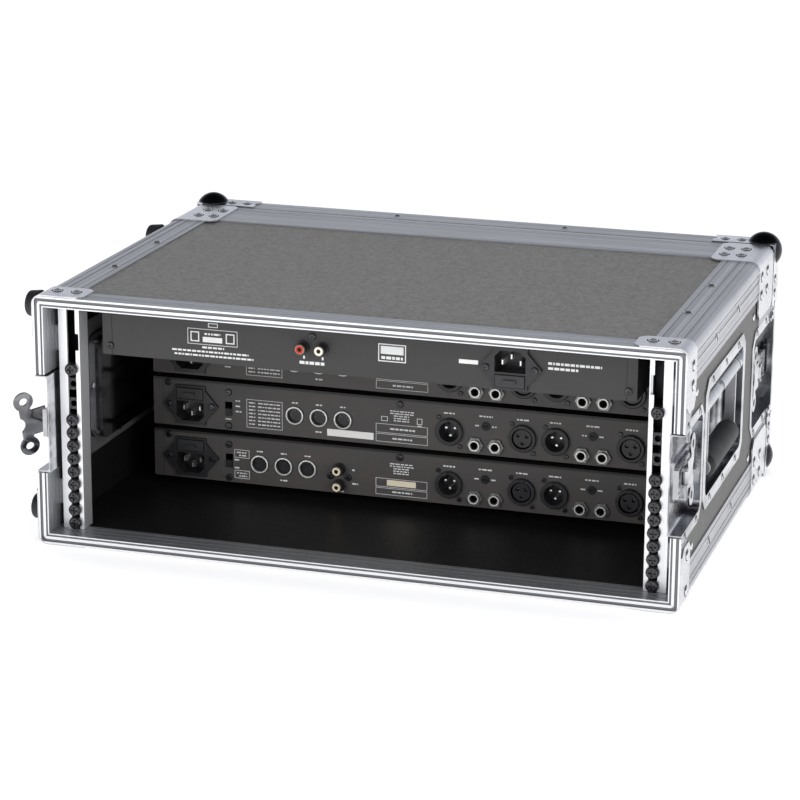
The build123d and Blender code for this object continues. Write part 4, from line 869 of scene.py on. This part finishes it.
BACKING_SCREWS = ((-112.3, 154.0), (-112.3, 104.0), (-112.3, 54.2), (-47.0, 54.2), (18.0, 54.2))
BACKING_SCREW_RADIUS, BACKING_SCREW_RISE = 3.2, 1.5
BACKING_THICKNESS = 2.0

frame_screws = bmesh.new()
for side in (-1, 1):
    for y, z in BACKING_SCREWS:
        matrix = turned((side * (WALL - BACKING_THICKNESS), y, z), (-side, 0, 0))
        revolve(frame_screws, scaled(DOMED, BACKING_SCREW_RADIUS, BACKING_SCREW_RISE), matrix)
piece("backing_screws", frame_screws, finishes["rear_corner_plates"], smooth=True)


# Stage and light


def floor_white():
    """White that keeps its brightness beyond the lamps' reach."""
    shader = Shader("floor_white")
    shader.base((0.92, 0.92, 0.92, 1.0), 0.7)
    shader.surface.inputs["Emission Color"].default_value = (1, 1, 1, 1)
    squares = [shader.calc("MULTIPLY", shader.axis(axis), shader.axis(axis)) for axis in "XY"]
    away = shader.calc("POWER", shader.calc("ADD", *squares), 0.5)
    shader.join(shader.span(away, 1.2, 3.2, 0.48, 0.92), shader.surface.inputs["Emission Strength"])
    return shader.material


FLOOR_REACH = 6.0
floor_mesh = bmesh.new()
corners = [(a * FLOOR_REACH, b * FLOOR_REACH) for a, b in ((-1, -1), (1, -1), (1, 1), (-1, 1))]
floor_mesh.faces.new([floor_mesh.verts.new((x, y, RESTING * MM)) for x, y in corners])
floor_data = bpy.data.meshes.new("floor")
floor_mesh.to_mesh(floor_data)
floor_mesh.free()
floor = bpy.data.objects.new("floor", floor_data)
floor_data.materials.append(floor_white())
scene.collection.objects.link(floor)

# The sky darkens upwards, each stop as (height, brightness), and the camera sees it white

SKY_STOPS = ((0.0, 0.95), (0.20, 0.86), (0.34, 0.56), (0.55, 0.14), (1.0, 0.05))
world = bpy.data.worlds.new("studio")
scene.world = world
world.use_nodes = True
sky = world.node_tree
sky.nodes.clear()
coordinates = sky.nodes.new("ShaderNodeTexCoord")
parts = sky.nodes.new("ShaderNodeSeparateXYZ")
sky.links.new(coordinates.outputs["Generated"], parts.inputs[0])
ramp = sky.nodes.new("ShaderNodeValToRGB")
sky.links.new(parts.outputs["Z"], ramp.inputs[0])
ramp.color_ramp.elements[0].position = 0.0
ramp.color_ramp.elements[1].position = 1.0
for position, value in SKY_STOPS[1:-1]:
    ramp.color_ramp.elements.new(position)
for element, (position, value) in zip(ramp.color_ramp.elements, SKY_STOPS):
    element.position = position
    element.color = (value * 0.95, value * 0.98, value * 1.08, 1)
seen = sky.nodes.new("ShaderNodeLightPath")
choose = sky.nodes.new("ShaderNodeMix")
choose.data_type = "RGBA"
sky.links.new(seen.outputs["Is Camera Ray"], choose.inputs[0])
sky.links.new(ramp.outputs[0], choose.inputs[6])
choose.inputs[7].default_value = (1, 1, 1, 1)
glow = sky.nodes.new("ShaderNodeBackground")
sky.links.new(choose.outputs[2], glow.inputs[0])
end = sky.nodes.new("ShaderNodeOutputWorld")
sky.links.new(glow.outputs[0], end.inputs[0])


def softbox(name, place, aim, size, power):
    """A rectangular lamp that isn't seen in reflections."""
    lamp = bpy.data.lights.new(name, "AREA")
    lamp.shape = "RECTANGLE"
    lamp.size, lamp.size_y = size
    lamp.energy = power
    made = bpy.data.objects.new(name, lamp)
    made.location = place
    made.rotation_mode = "QUATERNION"
    made.rotation_quaternion = (Vector(place) - Vector(aim)).to_track_quat("Z", "Y")
    made.visible_glossy = False
    scene.collection.objects.link(made)


softbox("front_left", (-1.1, -2.2, 1.0), (0, 0, 0.08), (1.4, 1.4), 30)
softbox("front_right", (1.9, -1.6, 1.1), (0, 0, 0.1), (1.3, 1.6), 34)
softbox("overhead", (0.0, 0.5, 2.3), (0, 0, 0.1), (2.4, 0.9), 24)
